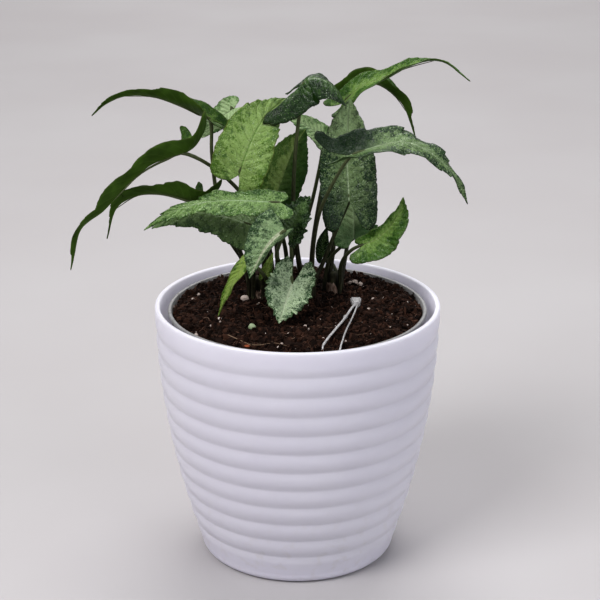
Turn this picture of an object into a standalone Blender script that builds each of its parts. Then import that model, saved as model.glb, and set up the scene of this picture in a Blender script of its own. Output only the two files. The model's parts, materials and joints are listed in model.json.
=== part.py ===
"""An arrowhead plant in a ribbed pot: a clump of arrow-shaped leaves on long stalks round five
short stems, in a soil-filled grow pot that stands inside a tapered outer pot.

Metres, +Z up. The origin is the centre of the outer pot's flat base, +X is the plant's right and
-Y its front. The leaf, stem and tag places are written in millimetres and scaled by MM.
"""

import math

import bmesh
import bpy
from mathutils import Vector

MM = 0.001

# Outer pot
POT_HEIGHT = 130 * MM
RIM_RADIUS = 70 * MM
POT_NARROWING = 22.6 * MM
POT_WALL = 2.5 * MM
POT_FLOOR = 3.5 * MM
FOOT_ROUNDING = 5 * MM
LIP_ROUNDING = 0.8 * MM
GROOVES = 11
TOP_GROOVE = 117.5 * MM
RIB_PITCH = 10.08 * MM
GROOVE_DEPTH = 0.9 * MM
STEPS_PER_RIB = 3
POT_SIDES = 36

# Grow pot inside it
GROW_TOP = 127.6 * MM
GROW_RIM_RADIUS = 63.6 * MM
GROW_NECK_RADIUS = 62.8 * MM
GROW_FOOT_RADIUS = 42 * MM
GROW_WALL = 0.9 * MM
GROW_FLOOR = 1.2 * MM
GROW_LIP_DROP = 2.2 * MM
DRAIN_HOLES = 5
DRAIN_RADIUS = 3 * MM
DRAIN_CIRCLE = 24 * MM
SEAT_GAP = 0.3 * MM

# Soil
SOIL_EDGE = 126.2 * MM
SOIL_HEAP = 1.8 * MM
SOIL_LUMP = 0.3 * MM
SOIL_RINGS = 6

# Stems and stalks
STEM_RADIUS = 2.4 * MM
STEM_DEPTH = 12 * MM
STEM_SIDES = 8
FOOT_CIRCLE = 4.1 * MM
FOOT_DEPTH = 8 * MM
FOOT_TOP = 134 * MM
STALK_FOOT = 1.35 * MM
STALK_NECK = 0.85 * MM
STALK_END = 0.22 * MM
STALK_SIDES = 5
STALK_RINGS = 10
HOLE_GAP = 0.35 * MM

# Blades
BLADE = 0.7 * MM
RIB_SINK = 0.45 * MM
CREASE = 1.4 * MM
MARGIN_STEPS = 11
ACROSS_STEPS = 2

# Half of the flat outline, from the inner side of the lobe's tip round to the leaf's tip. Each point
# is (share of half width, share of lobe length back, share of blade length forward).
HALF_OUTLINE = (
    (0.26, 0.90, 0.00),
    (0.50, 1.00, 0.00),
    (0.77, 0.76, 0.00),
    (0.94, 0.24, 0.00),
    (1.00, 0.00, 0.14),
    (0.89, 0.00, 0.36),
    (0.58, 0.00, 0.64),
    (0.22, 0.00, 0.88),
    (0.00, 0.00, 1.00),
)

# Stem name, then its place (x, y) and its height above the soil's edge, in mm.
STEMS = {
    "left": ((-20, 13), 13),
    "back": ((-9, 23), 15),
    "middle": ((4, 13), 17),
    "right": ((18, 20), 13),
    "front": ((-7, -1), 10),
}

# Tag loop lying on the soil: the fastener's head, its bead and the loop's two bends, (x, y) in mm.
TAG_HEAD = (28.7, -2.5)
TAG_BEAD = (23, -21.3)
TAG_ROUTE = ((27.5, -6.5), (23, -21.3), (17, -42), (13.2, -53), (14.6, -56.2), (18.0, -56.6),
             (20.2, -53.5), (24.4, -32), (29.2, -6.5))
TAG_RADIUS = 0.55 * MM
TAG_SIDES = 5


def pair(value):
    """A value for the left half and one for the right."""
    return value if isinstance(value, tuple) else (value, value)


def leaf(stem, foot, via, rib, half, lobe, face, folds=(10, 10), base_folds=None, lobe_bend=0,
         splay=0, taper=1.0, wave=0.8, waves=2.5, colour="green"):
    """One leaf's values: see LEAVES."""
    return dict(stem=stem, foot=foot, via=via, rib=rib, half=pair(half), lobe=pair(lobe), face=face,
                folds=folds, base_folds=base_folds or folds, lobe_bend=pair(lobe_bend),
                splay=pair(splay), taper=taper, wave=wave, waves=waves, colour=colour)


# Each leaf in mm and degrees: the stem it grows from, the side of the stem that its foot is on,
# the points its stalk passes, its midrib from the stalk to the tip, half width, lobe length, the
# way its upper side faces from stalk to tip, how far the left and right half fold up towards the
# tip and at the stalk, how far the lobes bend under and spread apart, the taper (over 1 is widest
# near the stalk), and the depth and count of its waves. A pair is left and right, seen from above.
LEAVES = {
    "leaf_01": leaf(
        "left", 115, ((-27, 16, 146), (-36, 15, 162), (-40, 18, 181), (-42, 21, 200)),
        ((-42, 22, 216), (-55, 17, 224), (-71, 13, 230), (-84, 9, 230.5), (-92, 7, 227), (-98, 5, 222)),
        7.5, 13, ((-0.1, -0.45, 0.9), (0, 0.35, 0.95), (0, 0.45, 0.9), (0, 0.45, 0.9)),
        folds=(56, 56), base_folds=(28, 28), lobe_bend=20),
    "leaf_02": leaf(
        "left", 15, ((-17, 13, 150), (-19, 12, 165), (-25, 8, 180), (-38, 1, 196)),
        ((-53, -6, 207), (-69, -14, 203), (-82, -18, 192), (-91, -22, 183), (-102, -24, 174),
         (-107, -26, 155)),
        9.0, (23, 20), ((-0.2, 0.4, 0.85), (-0.4, 0.4, 0.8), (-0.7, 0.25, 0.6)),
        folds=(52, 52), base_folds=(40, 40), lobe_bend=(-75, -105), splay=(8, 20), taper=1.2,
        wave=1.4, waves=3.5),
    "leaf_03": leaf(
        "left", 175, ((-26, 13, 144), (-31, 12, 159), (-37, 9, 171), (-44, 4, 179)),
        ((-51, 0, 181.5), (-63, -4, 186), (-75, -8, 187), (-86, -10, 181), (-91, -12, 166)),
        8.0, (19, 17), ((-0.1, 0.4, 0.9), (-0.3, 0.4, 0.85), (-0.8, 0.2, 0.5)),
        folds=(50, 50), base_folds=(38, 38), lobe_bend=(-80, -115), splay=(10, 18), taper=1.1,
        wave=1.3, waves=3.0),
    "leaf_04": leaf(
        "left", -50, ((-16, 3, 150), (-14, -4, 166), (-13, -10, 178)),
        ((-8, -16.5, 185.5), (-34, -20.5, 187.5), (-50, -21.5, 185.5), (-63, -23.5, 180.5),
         (-72, -25.5, 174.5)),
        (9, 6), (6, 4), ((0.1, -0.6, 0.75), (0, -0.55, 0.8), (0, -0.75, 0.66)),
        folds=(-18, 14), base_folds=(-20, 16), splay=(14, 10), taper=1.15, wave=1.2, waves=3.5),
    "leaf_05": leaf(
        "left", -115, ((-22, 5, 150), (-22, 1, 160)),
        ((-22, -4, 170.5), (-35, -8, 176), (-47, -12, 179), (-59, -16, 178), (-69, -18, 173)),
        13, 9, ((0, -0.4, 1), (0, -0.3, 1)),
        folds=(-62, -10), base_folds=(-50, -10), taper=1.2),
    "leaf_06": leaf(
        "back", -130, ((-15, 17, 151), (-18, 9, 172), (-23, -2, 188)),
        ((-27.5, -9, 197), (-25, -9, 205), (-20, -4, 216), (-14.5, 3, 223), (-9, 8, 227),
         (-5, 11, 229)),
        (15, 12.5), (5, 15), ((-0.1, -0.95, 0.3), (0, -0.9, 0.4)),
        folds=(8, 8), lobe_bend=(20, 25), taper=0.72, wave=1.2, waves=3.0, colour="light"),
    "leaf_07": leaf(
        "middle", 110, ((0, 16, 150), (-2, 9, 178), (-1, 4, 205), (1, 1, 225)),
        ((2, -1, 238.5), (6, -2, 241.5), (12, -3, 241), (18, -4, 236.5), (22.5, -5, 229)),
        (8, 13), (11, 23), ((-0.1, -0.3, 0.95), (0.4, -0.1, 0.9)),
        folds=(-15, -72), base_folds=(-20, -58), lobe_bend=(0, -24), splay=(5, 6), wave=1.0, waves=2.0, colour="dark"),
    "leaf_08": leaf(
        "middle", 50, ((8, 18, 157), (13, 20, 187), (19, 20, 210)),
        ((22, 19, 225), (31, 16, 234), (43, 14, 239), (57, 12, 246), (69, 10, 247), (82, 8, 238)),
        6.0, 9, ((-0.2, -0.75, 0.6), (0, -0.2, 0.95), (0.1, 0.2, 0.95)),
        folds=(50, 45), base_folds=(15, 15), lobe_bend=-75, splay=10, taper=1.2, waves=3.5),
    "leaf_09": leaf(
        "right", 120, ((18, 26, 150), (20, 30, 180), (23, 31, 208)),
        ((26, 30, 230), (35, 28, 234), (44, 26, 230), (52, 24, 222), (58, 23, 206)),
        7.5, 9, ((0.1, 0.25, 0.95), (0.8, 0.15, 0.6)),
        folds=(55, 55)),
    "leaf_10": leaf(
        "middle", -50, ((7, 6, 145), (8, 2, 161), (11, -4, 178), (18, -12, 196)),
        ((25, -18, 209), (37, -18, 213), (50, -18, 215), (63, -18, 209), (74, -18, 198), (80, -18, 185)),
        (10, 8), (23, 13), ((-0.1, -0.5, 0.85), (0.1, -0.5, 0.85), (0.6, -0.6, 0.5)),
        folds=(-12, 0), base_folds=(52, 45), lobe_bend=(-85, -8), splay=(8, 6), taper=1.1, wave=1.4,
        waves=4.5),
    "leaf_11": leaf(
        "middle", 0, ((13, 15, 146), (19, 14, 162), (24, 11, 175)),
        ((25, 6, 180), (24, 8, 200), (24, 9, 217), (25, 8, 230)),
        14, 15, ((0, -0.98, 0.15), (0, -0.98, 0.15)),
        folds=(12, 12), lobe_bend=8, splay=9, taper=0.64, wave=1.2, waves=3.5),
    "leaf_12": leaf(
        "right", 180, ((16, 20, 145), (22, 20, 152)),
        ((28, 18, 157), (28, 20, 168), (27, 23, 182), (26, 25, 194)),
        11, 5, ((0, -0.98, 0.15), (0, -0.98, 0.15)),
        folds=(10, 10), colour="dark"),
    "leaf_13": leaf(
        "right", -40, ((22, 13, 146), (27, 9, 154)),
        ((33.5, 6, 158), (38.5, 5, 160.5), (44.5, 4, 166.5), (49, 2, 174.5), (51, 1, 183)),
        (5, 11), (5, 10), ((-0.3, -0.75, 0.5), (-0.3, -0.75, 0.5)),
        folds=(62, 10), base_folds=(50, 12), taper=0.78, wave=1.2, waves=3.0, colour="light"),
    "leaf_14": leaf(
        "back", 50, ((-2, 28, 146), (6, 29, 168), (11, 31, 190)),
        ((13, 32, 203), (7, 31, 209), (1, 30, 213), (-7, 30, 217)),
        7, 7, ((0.3, -0.7, 0.7), (0.1, -0.7, 0.7)),
        folds=(20, 20), colour="pale"),
    "leaf_15": leaf(
        "back", 0, ((-6, 21, 150), (-10, 17, 170)),
        ((-10, 14, 182), (-6, 14, 193), (-2, 15, 203), (4, 16, 213)),
        11, 8, ((0.1, -0.95, 0.2), (0.1, -0.95, 0.2)),
        folds=(10, 10), taper=0.65, colour="dark"),
    "leaf_16": leaf(
        "front", 35, ((-3, -1, 148), (-3, -4, 158)),
        ((-4, -7, 168), (-1, -6, 174), (2, -5, 180), (6, -4, 185)),
        9.5, 6, ((-0.3, -0.9, 0.4), (-0.2, -0.9, 0.4)),
        folds=(25, 25), wave=1.5, waves=3.5, colour="dark"),
    "leaf_17": leaf(
        "front", 90, ((-8, 0, 148), (-10, -10, 158)),
        ((-6, -26.5, 174.5), (-10.5, -28.5, 171.5), (-15, -30, 166.5), (-19, -31.5, 160),
         (-22.5, -32.5, 153)),
        (3.5, 13), (4, 1.5), ((-0.2, -0.95, 0.3), (-0.2, -0.95, 0.3)),
        folds=(-95, 5), base_folds=(-70, 8), splay=(0, 12), taper=0.9, lobe_bend=0, colour="pale"),
    "leaf_18": leaf(
        "front", 210, ((-14, -8, 143), (-20, -14, 153)),
        ((-25, -15, 155), (-30, -18, 148), (-34, -20, 141), (-38, -21, 130)),
        3.5, 4, ((-0.5, -0.8, 0.3), (-0.8, -0.6, 0.2)),
        folds=(30, 30), colour="light"),
    "leaf_19": leaf(
        "front", -35, ((-3, -6, 142), (-3, -9, 146)),
        ((-2.6, -13, 143.5), (-5.5, -23, 138), (-8.8, -35, 131.5)),
        (11, 12), (14, 13), ((0, -0.85, 0.5), (0, -0.75, 0.65)),
        folds=(10, 15), lobe_bend=-38, taper=0.9, wave=1.2, waves=3.5, colour="pale"),
    "leaf_20": leaf(
        "front", 150, ((-13, 1, 139),),
        ((-16, -2, 144), (-14, -3, 150), (-12, -2, 156)),
        3, 3, ((0, -0.98, 0.1), (0, -0.98, 0.1)),
        folds=(25, 25), wave=0.3, colour="light"),
    "leaf_21": leaf(
        "right", 60, ((18, 30, 139),),
        ((13, 33, 143), (13, 34, 150), (15, 34, 158)),
        4, 4, ((0, -0.98, 0.1), (0, -0.98, 0.1)),
        folds=(25, 25), wave=0.3, colour="dark"),
    "leaf_22": leaf(
        "back", 150, ((-16, 29, 160), (-24, 34, 188)),
        ((-31.5, 37, 218), (-37.5, 36, 214), (-42.5, 35, 209), (-47.5, 34, 204)),
        7, 5, ((0, -0.8, 0.6), (-0.1, -0.75, 0.65)),
        folds=(15, 15), colour="pale"),
    "leaf_23": leaf(
        "back", 100, ((-11, 33, 155), (-12, 38, 175)),
        ((-12, 42, 188), (-14, 52, 193), (-15, 64, 190), (-16, 74, 178)),
        12, 13, ((0, 0.2, 0.95), (0, 0.7, 0.7)),
        folds=(20, 20), lobe_bend=-10),
    "leaf_24": leaf(
        "right", 10, ((25, 28, 150), (27, 36, 168)),
        ((28, 41, 180), (30, 52, 185), (32, 63, 182), (34, 72, 171)),
        11, 12, ((0, 0.2, 0.95), (0.1, 0.7, 0.7)),
        folds=(20, 20), lobe_bend=-10),
}

LEAF_COLOURS = {
    "green": (0.060, 0.150, 0.035, 1),
    "dark": (0.020, 0.070, 0.025, 1),
    "light": (0.190, 0.340, 0.070, 1),
    "pale": (0.250, 0.360, 0.200, 1),
}


def material(name, colour, roughness, metallic=0.0):
    made = bpy.data.materials.get(name)
    if made is None:
        made = bpy.data.materials.new(name)
        made.use_nodes = True
        shader = made.node_tree.nodes["Principled BSDF"]
        shader.inputs["Base Color"].default_value = colour
        shader.inputs["Roughness"].default_value = roughness
        shader.inputs["Metallic"].default_value = metallic
        made.diffuse_color = colour
    return made


def place(name, shape, finish=None):
    """An object with the bmesh's mesh, shaded smooth with its sharp edges kept."""
    bmesh.ops.recalc_face_normals(shape, faces=shape.faces)
    mesh = bpy.data.meshes.new(name)
    shape.to_mesh(mesh)
    shape.free()
    mesh.shade_smooth()
    mesh.set_sharp_from_angle(angle=math.radians(35))
    made = bpy.data.objects.new(name, mesh)
    bpy.context.scene.collection.objects.link(made)
    if finish:
        mesh.materials.append(finish)
    return made


def is_closed(mesh):
    shape = bmesh.new()
    shape.from_mesh(mesh)
    bmesh.ops.triangulate(shape, faces=shape.faces)
    closed = len(shape.faces) > 0 and all(len(edge.link_faces) == 2 for edge in shape.edges)
    shape.free()
    return closed


def join_shapes(target, others, operation):
    """Apply a Boolean with each of the others to the target, then remove them."""
    group = bpy.data.collections.new("operands")
    for other in others:
        group.objects.link(other)
    modifier = target.modifiers.new(operation, "BOOLEAN")
    modifier.operation = operation
    modifier.operand_type = "COLLECTION"
    modifier.collection = group
    for solver in ("EXACT", "MANIFOLD"):
        modifier.solver = solver
        bpy.context.view_layer.update()
        result = bpy.data.meshes.new_from_object(target.evaluated_get(bpy.context.evaluated_depsgraph_get()))
        if is_closed(result):
            break
    target.modifiers.clear()
    target.data = result
    target.data.name = target.name
    for other in others:
        bpy.data.objects.remove(other)
    bpy.data.collections.remove(group)
    return target


def turned(name, profile, sides, finish):
    """Spin (radius, height) points round Z; the first and last lie on the axis or close a ring."""
    shape = bmesh.new()
    rings = []
    for radius, height in profile:
        if radius == 0:
            rings.append([shape.verts.new((0, 0, height))])
            continue
        turns = [2 * math.pi * side / sides for side in range(sides)]
        rings.append([shape.verts.new((radius * math.cos(a), radius * math.sin(a), height)) for a in turns])
    for low, high in zip(rings, rings[1:]):
        for side in range(sides):
            after = (side + 1) % sides
            corners = [low[side % len(low)], low[after % len(low)], high[after % len(high)],
                       high[side % len(high)]]
            face = list(dict.fromkeys(corners))
            shape.faces.new(face)
    return place(name, shape, finish)


def body_radius(height):
    """The outer pot's plain taper, steepest at the foot."""
    share = (POT_HEIGHT - height) / POT_HEIGHT
    return RIM_RADIUS - POT_NARROWING * share * share


def ribbed_radius(height):
    """The taper with its grooves: rounded ribs that meet in soft valleys."""
    first_rib = TOP_GROOVE + RIB_PITCH / 2
    last_rib = TOP_GROOVE - (GROOVES - 1) * RIB_PITCH - RIB_PITCH / 2
    if not last_rib < height < first_rib:
        return body_radius(height)
    turn = math.pi * (height - TOP_GROOVE) / RIB_PITCH
    return body_radius(height) - GROOVE_DEPTH * (1 - abs(math.sin(turn)) ** 0.9)


def outer_profile():
    """From the middle of the base round the foot, up the ribs, over the lip and down inside."""
    foot = body_radius(FOOT_ROUNDING)
    points = [(0, 0), (foot - FOOT_ROUNDING, 0)]
    for step in (1, 2, 3):
        turn = math.radians(90 * step / 3)
        points.append((foot - FOOT_ROUNDING * (1 - math.sin(turn)), FOOT_ROUNDING * (1 - math.cos(turn))))
    lowest = TOP_GROOVE - (GROOVES - 1) * RIB_PITCH - RIB_PITCH / 2
    for step in range(GROOVES * STEPS_PER_RIB + 1):
        height = lowest + step * RIB_PITCH / STEPS_PER_RIB
        points.append((ribbed_radius(height), height))
    points.append((RIM_RADIUS, POT_HEIGHT - LIP_ROUNDING))
    points.append((RIM_RADIUS - LIP_ROUNDING, POT_HEIGHT))
    points.append((RIM_RADIUS - POT_WALL + LIP_ROUNDING, POT_HEIGHT))
    points.append((RIM_RADIUS - POT_WALL, POT_HEIGHT - LIP_ROUNDING))
    for height in (95 * MM, 60 * MM, 30 * MM, 12 * MM):
        points.append((body_radius(height) - POT_WALL, height))
    points.append((body_radius(POT_FLOOR) - POT_WALL - 2 * MM, POT_FLOOR))
    points.append((0, POT_FLOOR))
    return points


def grow_inner_radius(height):
    floor = POT_FLOOR + SEAT_GAP + GROW_FLOOR
    share = (height - floor) / (GROW_TOP - floor)
    return GROW_FOOT_RADIUS + (GROW_NECK_RADIUS - GROW_FOOT_RADIUS) * share - GROW_WALL


def grow_pot(finish):
    foot = POT_FLOOR + SEAT_GAP
    neck = GROW_TOP - GROW_LIP_DROP
    points = [
        (0, foot),
        (GROW_FOOT_RADIUS, foot),
        (GROW_NECK_RADIUS, neck),
        (GROW_RIM_RADIUS, neck),
        (GROW_RIM_RADIUS, GROW_TOP - 0.5 * MM),
        (GROW_RIM_RADIUS - 0.5 * MM, GROW_TOP),
        (grow_inner_radius(GROW_TOP), GROW_TOP),
        (grow_inner_radius(foot + GROW_FLOOR), foot + GROW_FLOOR),
        (0, foot + GROW_FLOOR),
    ]
    pot = turned("grow_pot", points, POT_SIDES, finish)
    drills = []
    for hole in range(DRAIN_HOLES):
        turn = 2 * math.pi * hole / DRAIN_HOLES
        centre = Vector((DRAIN_CIRCLE * math.cos(turn), DRAIN_CIRCLE * math.sin(turn), 0))
        low = centre + Vector((0, 0, foot - 1 * MM))
        high = centre + Vector((0, 0, foot + GROW_FLOOR + 1 * MM))
        drills.append(tube("drill", [low, high], [DRAIN_RADIUS] * 2, 10))
    return join_shapes(pot, drills, "DIFFERENCE")


def soil_height(x, y):
    """A low heap with gentle lumps, flat at the grow pot's wall."""
    edge = grow_inner_radius(SOIL_EDGE)
    inward = max(0, 1 - (x * x + y * y) / (edge * edge))
    lumps = math.sin(x / (6.1 * MM) + 0.7) * math.sin(y / (5.3 * MM) + 0.2)
    lumps += 0.6 * math.sin(x / (3.7 * MM) - y / (4.4 * MM))
    return SOIL_EDGE + SOIL_HEAP * min(1, 3 * inward) + SOIL_LUMP * lumps * min(1, 3 * inward)


def soil(finish):
    floor = POT_FLOOR + SEAT_GAP + GROW_FLOOR + SEAT_GAP
    shape = bmesh.new()
    rings = []
    for ring in range(1, SOIL_RINGS + 1):
        radius = (grow_inner_radius(SOIL_EDGE) - SEAT_GAP) * ring / SOIL_RINGS
        circle = []
        for side in range(POT_SIDES):
            turn = 2 * math.pi * side / POT_SIDES
            x = radius * math.cos(turn)
            y = radius * math.sin(turn)
            circle.append(shape.verts.new((x, y, soil_height(x, y))))
        rings.append(circle)
    low_radius = grow_inner_radius(floor) - SEAT_GAP
    turns = [2 * math.pi * side / POT_SIDES for side in range(POT_SIDES)]
    rings.append([shape.verts.new((low_radius * math.cos(a), low_radius * math.sin(a), floor)) for a in turns])
    top = shape.verts.new((0, 0, soil_height(0, 0)))
    bottom = shape.verts.new((0, 0, floor))
    for side in range(POT_SIDES):
        after = (side + 1) % POT_SIDES
        shape.faces.new((top, rings[0][side], rings[0][after]))
        shape.faces.new((bottom, rings[-1][after], rings[-1][side]))
        for inner, outer in zip(rings, rings[1:]):
            shape.faces.new((inner[side], outer[side], outer[after], inner[after]))
    return place("soil", shape, finish)


def smooth_line(points, count):
    """Even steps along a smooth curve through the points."""
    ends = [2 * points[0] - points[1], *points, 2 * points[-1] - points[-2]]
    dense = []
    for a, b, c, d in zip(ends, ends[1:], ends[2:], ends[3:]):
        for step in range(12):
            t = step / 12
            run = (c - a) * t
            bend = (2 * a - 5 * b + 4 * c - d) * t ** 2
            twist = (3 * b - a - 3 * c + d) * t ** 3
            dense.append(b + 0.5 * (run + bend + twist))
    dense.append(points[-1].copy())
    reach = [0.0]
    for a, b in zip(dense, dense[1:]):
        reach.append(reach[-1] + (b - a).length)
    line = []
    near = 0
    for step in range(count + 1):
        wanted = reach[-1] * step / count
        while near < len(dense) - 2 and reach[near + 1] < wanted:
            near += 1
        share = (wanted - reach[near]) / max(reach[near + 1] - reach[near], 1e-12)
        line.append(dense[near].lerp(dense[near + 1], min(max(share, 0), 1)))
    return line, reach[-1]


def tube(name, line, radii, sides, finish=None):
    """A closed tube along a line, its rings carried on without twisting."""
    shape = bmesh.new()
    rings = []
    across = None
    for index, (centre, radius) in enumerate(zip(line, radii)):
        ahead = line[min(index + 1, len(line) - 1)] - line[max(index - 1, 0)]
        ahead.normalize()
        if across is None:
            across = ahead.orthogonal()
        across = (across - ahead * across.dot(ahead)).normalized()
        other = ahead.cross(across)
        turns = [2 * math.pi * side / sides for side in range(sides)]
        ring = [centre + radius * (across * math.cos(a) + other * math.sin(a)) for a in turns]
        rings.append([shape.verts.new(point) for point in ring])
    for low, high in zip(rings, rings[1:]):
        for side in range(sides):
            after = (side + 1) % sides
            shape.faces.new((low[side], low[after], high[after], high[side]))
    shape.faces.new(rings[0])
    shape.faces.new(rings[-1])
    return place(name, shape, finish)


class Blade:
    """The middle surface of one leaf blade, from shares of its outline to points in space."""

    def __init__(self, values):
        self.values = values
        self.half = [half * MM for half in values["half"]]
        self.lobe = [lobe * MM for lobe in values["lobe"]]
        self.line, self.length = smooth_line([Vector(p) * MM for p in values["rib"]], 48)
        self.outlines = []
        self.shoulders = []
        for half, lobe, splay in zip(self.half, self.lobe, values["splay"]):
            spread = math.tan(math.radians(splay)) * lobe
            flat = [
                Vector((x * half + back * spread, y ** values["taper"] * self.length - back * lobe, 0))
                for x, back, y in HALF_OUTLINE
            ]
            outline, _ = smooth_line(flat, 120)
            self.outlines.append(outline)
            self.shoulders.append(max(i for i, p in enumerate(outline) if p.y <= 0) / 120)
        self.shoulder = sum(self.shoulders) / 2

    def facing(self, share):
        sides = [Vector(side).normalized() for side in self.values["face"]]
        at = share * (len(sides) - 1)
        low = min(int(at), len(sides) - 2)
        return sides[low].lerp(sides[low + 1], at - low)

    def frame(self, forward, side=1):
        """Centre, direction to the tip, upper side and right side at a distance from the stalk."""
        share = min(max(forward / self.length, 0), 1)
        at = share * 48
        low = min(int(at), 47)
        centre = self.line[low].lerp(self.line[low + 1], at - low)
        ahead = (self.line[min(low + 2, 48)] - self.line[max(low - 1, 0)]).normalized()
        up = self.facing(share)
        up = (up - ahead * up.dot(ahead)).normalized()
        if forward < 0:
            half = 0 if side < 0 else 1
            back = -forward / max(self.lobe[half], 1e-9)
            bend = math.radians(self.values["lobe_bend"][half])
            middle = 0.5 * bend * back
            centre = centre + forward * (ahead * math.cos(middle) + up * math.sin(middle))
            turn = bend * back
            ahead, up = (ahead * math.cos(turn) + up * math.sin(turn),
                         up * math.cos(turn) - ahead * math.sin(turn))
        return centre, ahead, up, ahead.cross(up)

    def margin(self, side, share):
        half = 0 if side < 0 else 1
        own = self.shoulders[half]
        if share < self.shoulder:
            at = share * own / self.shoulder
        else:
            at = own + (share - self.shoulder) * (1 - own) / (1 - self.shoulder)
        at *= 120
        low = min(int(at), 119)
        return self.outlines[half][low].lerp(self.outlines[half][low + 1], at - low)

    def point(self, side, share, out):
        """side is -1 or 1, share runs round the margin from notch to tip, out from rib to margin."""
        edge = self.margin(side, share)
        rib = max(0, (share - self.shoulder) / (1 - self.shoulder)) ** 1.1 * self.length
        across = edge.x * out
        forward = rib + (edge.y - rib) * out
        centre, _, up, right = self.frame(forward, side)
        along = min(max(forward / self.length, 0), 1)
        half = 0 if side < 0 else 1
        near_tip = min(1, along / 0.4)
        fold = self.values["folds"][half] * near_tip + self.values["base_folds"][half] * (1 - near_tip)
        sideways = 0
        lift = 0
        for step in range(8):
            reach = across * (step + 0.5) / 8
            crease = (1 - math.exp(-reach / CREASE)) * (0.8 + 0.4 * reach / self.half[half])
            turn = math.radians(fold) * crease
            sideways += math.cos(turn) * across / 8
            lift += math.sin(turn) * across / 8
        turn = 2 * math.pi * self.values["waves"] * share + (0.6 if side < 0 else 2.9)
        ripple = self.values["wave"] * MM * math.sin(turn) * out * out * math.sin(math.pi * share)
        return centre + right * (side * sideways) + up * (lift + ripple)


def blade_shape(name, blade):
    """The blade as a closed sheet: the same triangles above and below, joined round the edge."""
    shape = bmesh.new()
    places = {}

    def corner(side, step, out):
        share = step / MARGIN_STEPS
        edge = blade.margin(side, share)
        on_rib = out == 0 or edge.x < 1e-6
        at = max(0, (share - blade.shoulder) / (1 - blade.shoulder))
        key = ("rib", round(at, 6)) if on_rib else (side, step, out)
        if key not in places:
            places[key] = shape.verts.new(blade.point(side, share, 0 if on_rib else out / ACROSS_STEPS))
        return places[key]

    for side in (-1, 1):
        for step in range(MARGIN_STEPS):
            for out in range(ACROSS_STEPS):
                a = corner(side, step, out)
                b = corner(side, step, out + 1)
                c = corner(side, step + 1, out + 1)
                d = corner(side, step + 1, out)
                for three in ((a, b, c), (a, c, d)):
                    if len(set(three)) == 3:
                        shape.faces.new(three if side > 0 else three[::-1])
    shape.normal_update()
    faces = list(shape.faces)
    lower = {}
    for vert in list(shape.verts):
        spread = min((vert.normal.dot(face.normal) for face in vert.link_faces), default=1)
        reach = BLADE / 2 / max(spread, 0.62)
        lower[vert] = shape.verts.new(vert.co - vert.normal * reach)
        vert.co += vert.normal * reach
    rim = [edge for edge in shape.edges if len(edge.link_faces) == 1]
    for edge in rim:
        loop = edge.link_loops[0]
        first = loop.vert
        second = loop.link_loop_next.vert
        shape.faces.new((second, first, lower[first]))
        shape.faces.new((second, lower[first], lower[second]))
    for face in faces:
        shape.faces.new([lower[vert] for vert in reversed(face.verts)])
    return place(name, shape)


def foot_of(values):
    (x, y), _ = STEMS[values["stem"]]
    turn = math.radians(values["foot"])
    return Vector((x * MM + FOOT_CIRCLE * math.cos(turn), y * MM + FOOT_CIRCLE * math.sin(turn), 0))


def stalk_line(values, blade):
    """From its foot in the soil past the stalk's points to a rib that fades under the blade."""
    foot = foot_of(values)
    points = [foot + Vector((0, 0, z)) for z in (SOIL_EDGE - FOOT_DEPTH, SOIL_EDGE, FOOT_TOP)]
    points += [Vector(p) * MM for p in values["via"]]
    for share, sink in ((0, RIB_SINK), (0.12, 0.6 * RIB_SINK), (0.3, 0)):
        centre, _, up, _ = blade.frame(share * blade.length)
        points.append(centre - up * sink)
    line, length = smooth_line(points, 60)
    stalk_length = length - 0.3 * blade.length
    kept = []
    radii = []
    for ring in range(STALK_RINGS + 1):
        index = round(60 * ring / STALK_RINGS)
        share = length * index / 60 / stalk_length
        if share <= 1:
            radius = STALK_FOOT + (STALK_NECK - STALK_FOOT) * share
        else:
            radius = STALK_NECK + (STALK_END - STALK_NECK) * (share - 1) * stalk_length / (0.3 * blade.length)
        kept.append(line[index])
        radii.append(radius)
    return kept, radii


def whole_leaf(name, values):
    """One leaf: its blade and its stalk as one body."""
    blade = Blade(values)
    made = blade_shape(name, blade)
    line, radii = stalk_line(values, blade)
    stalk = tube("stalk", line, radii, STALK_SIDES)
    join_shapes(made, [stalk], "UNION")
    made.data.materials.clear()
    made.data.materials.append(material("leaf_" + values["colour"], LEAF_COLOURS[values["colour"]], 0.45))
    made.data.shade_smooth()
    return made


def stem(name, x, y, height, finish):
    low = SOIL_EDGE - STEM_DEPTH
    top = SOIL_EDGE + height * MM
    heights = (low, top - 1.6 * MM, top - 0.5 * MM, top)
    radii = (STEM_RADIUS, 0.9 * STEM_RADIUS, 0.7 * STEM_RADIUS, 0.3 * STEM_RADIUS)
    line = [Vector((x * MM, y * MM, z)) for z in heights]
    return tube(name, line, radii, STEM_SIDES, finish)


def soil_holes():
    """Plain round holes for the stems and the feet of the stalks."""
    cutters = []
    above = SOIL_EDGE + SOIL_HEAP + 3 * MM
    for (x, y), _ in STEMS.values():
        line = [Vector((x * MM, y * MM, z)) for z in (SOIL_EDGE - STEM_DEPTH - HOLE_GAP, above)]
        cutters.append(tube("hole", line, [STEM_RADIUS + HOLE_GAP] * 2, STEM_SIDES))
    for values in LEAVES.values():
        foot = foot_of(values)
        line = [foot + Vector((0, 0, z)) for z in (SOIL_EDGE - FOOT_DEPTH - HOLE_GAP, above)]
        cutters.append(tube("hole", line, [STALK_FOOT + HOLE_GAP] * 2, STALK_SIDES))
    return cutters


def on_soil(x, y, above):
    return Vector((x * MM, y * MM, soil_height(x * MM, y * MM) + SEAT_GAP + above))


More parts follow.
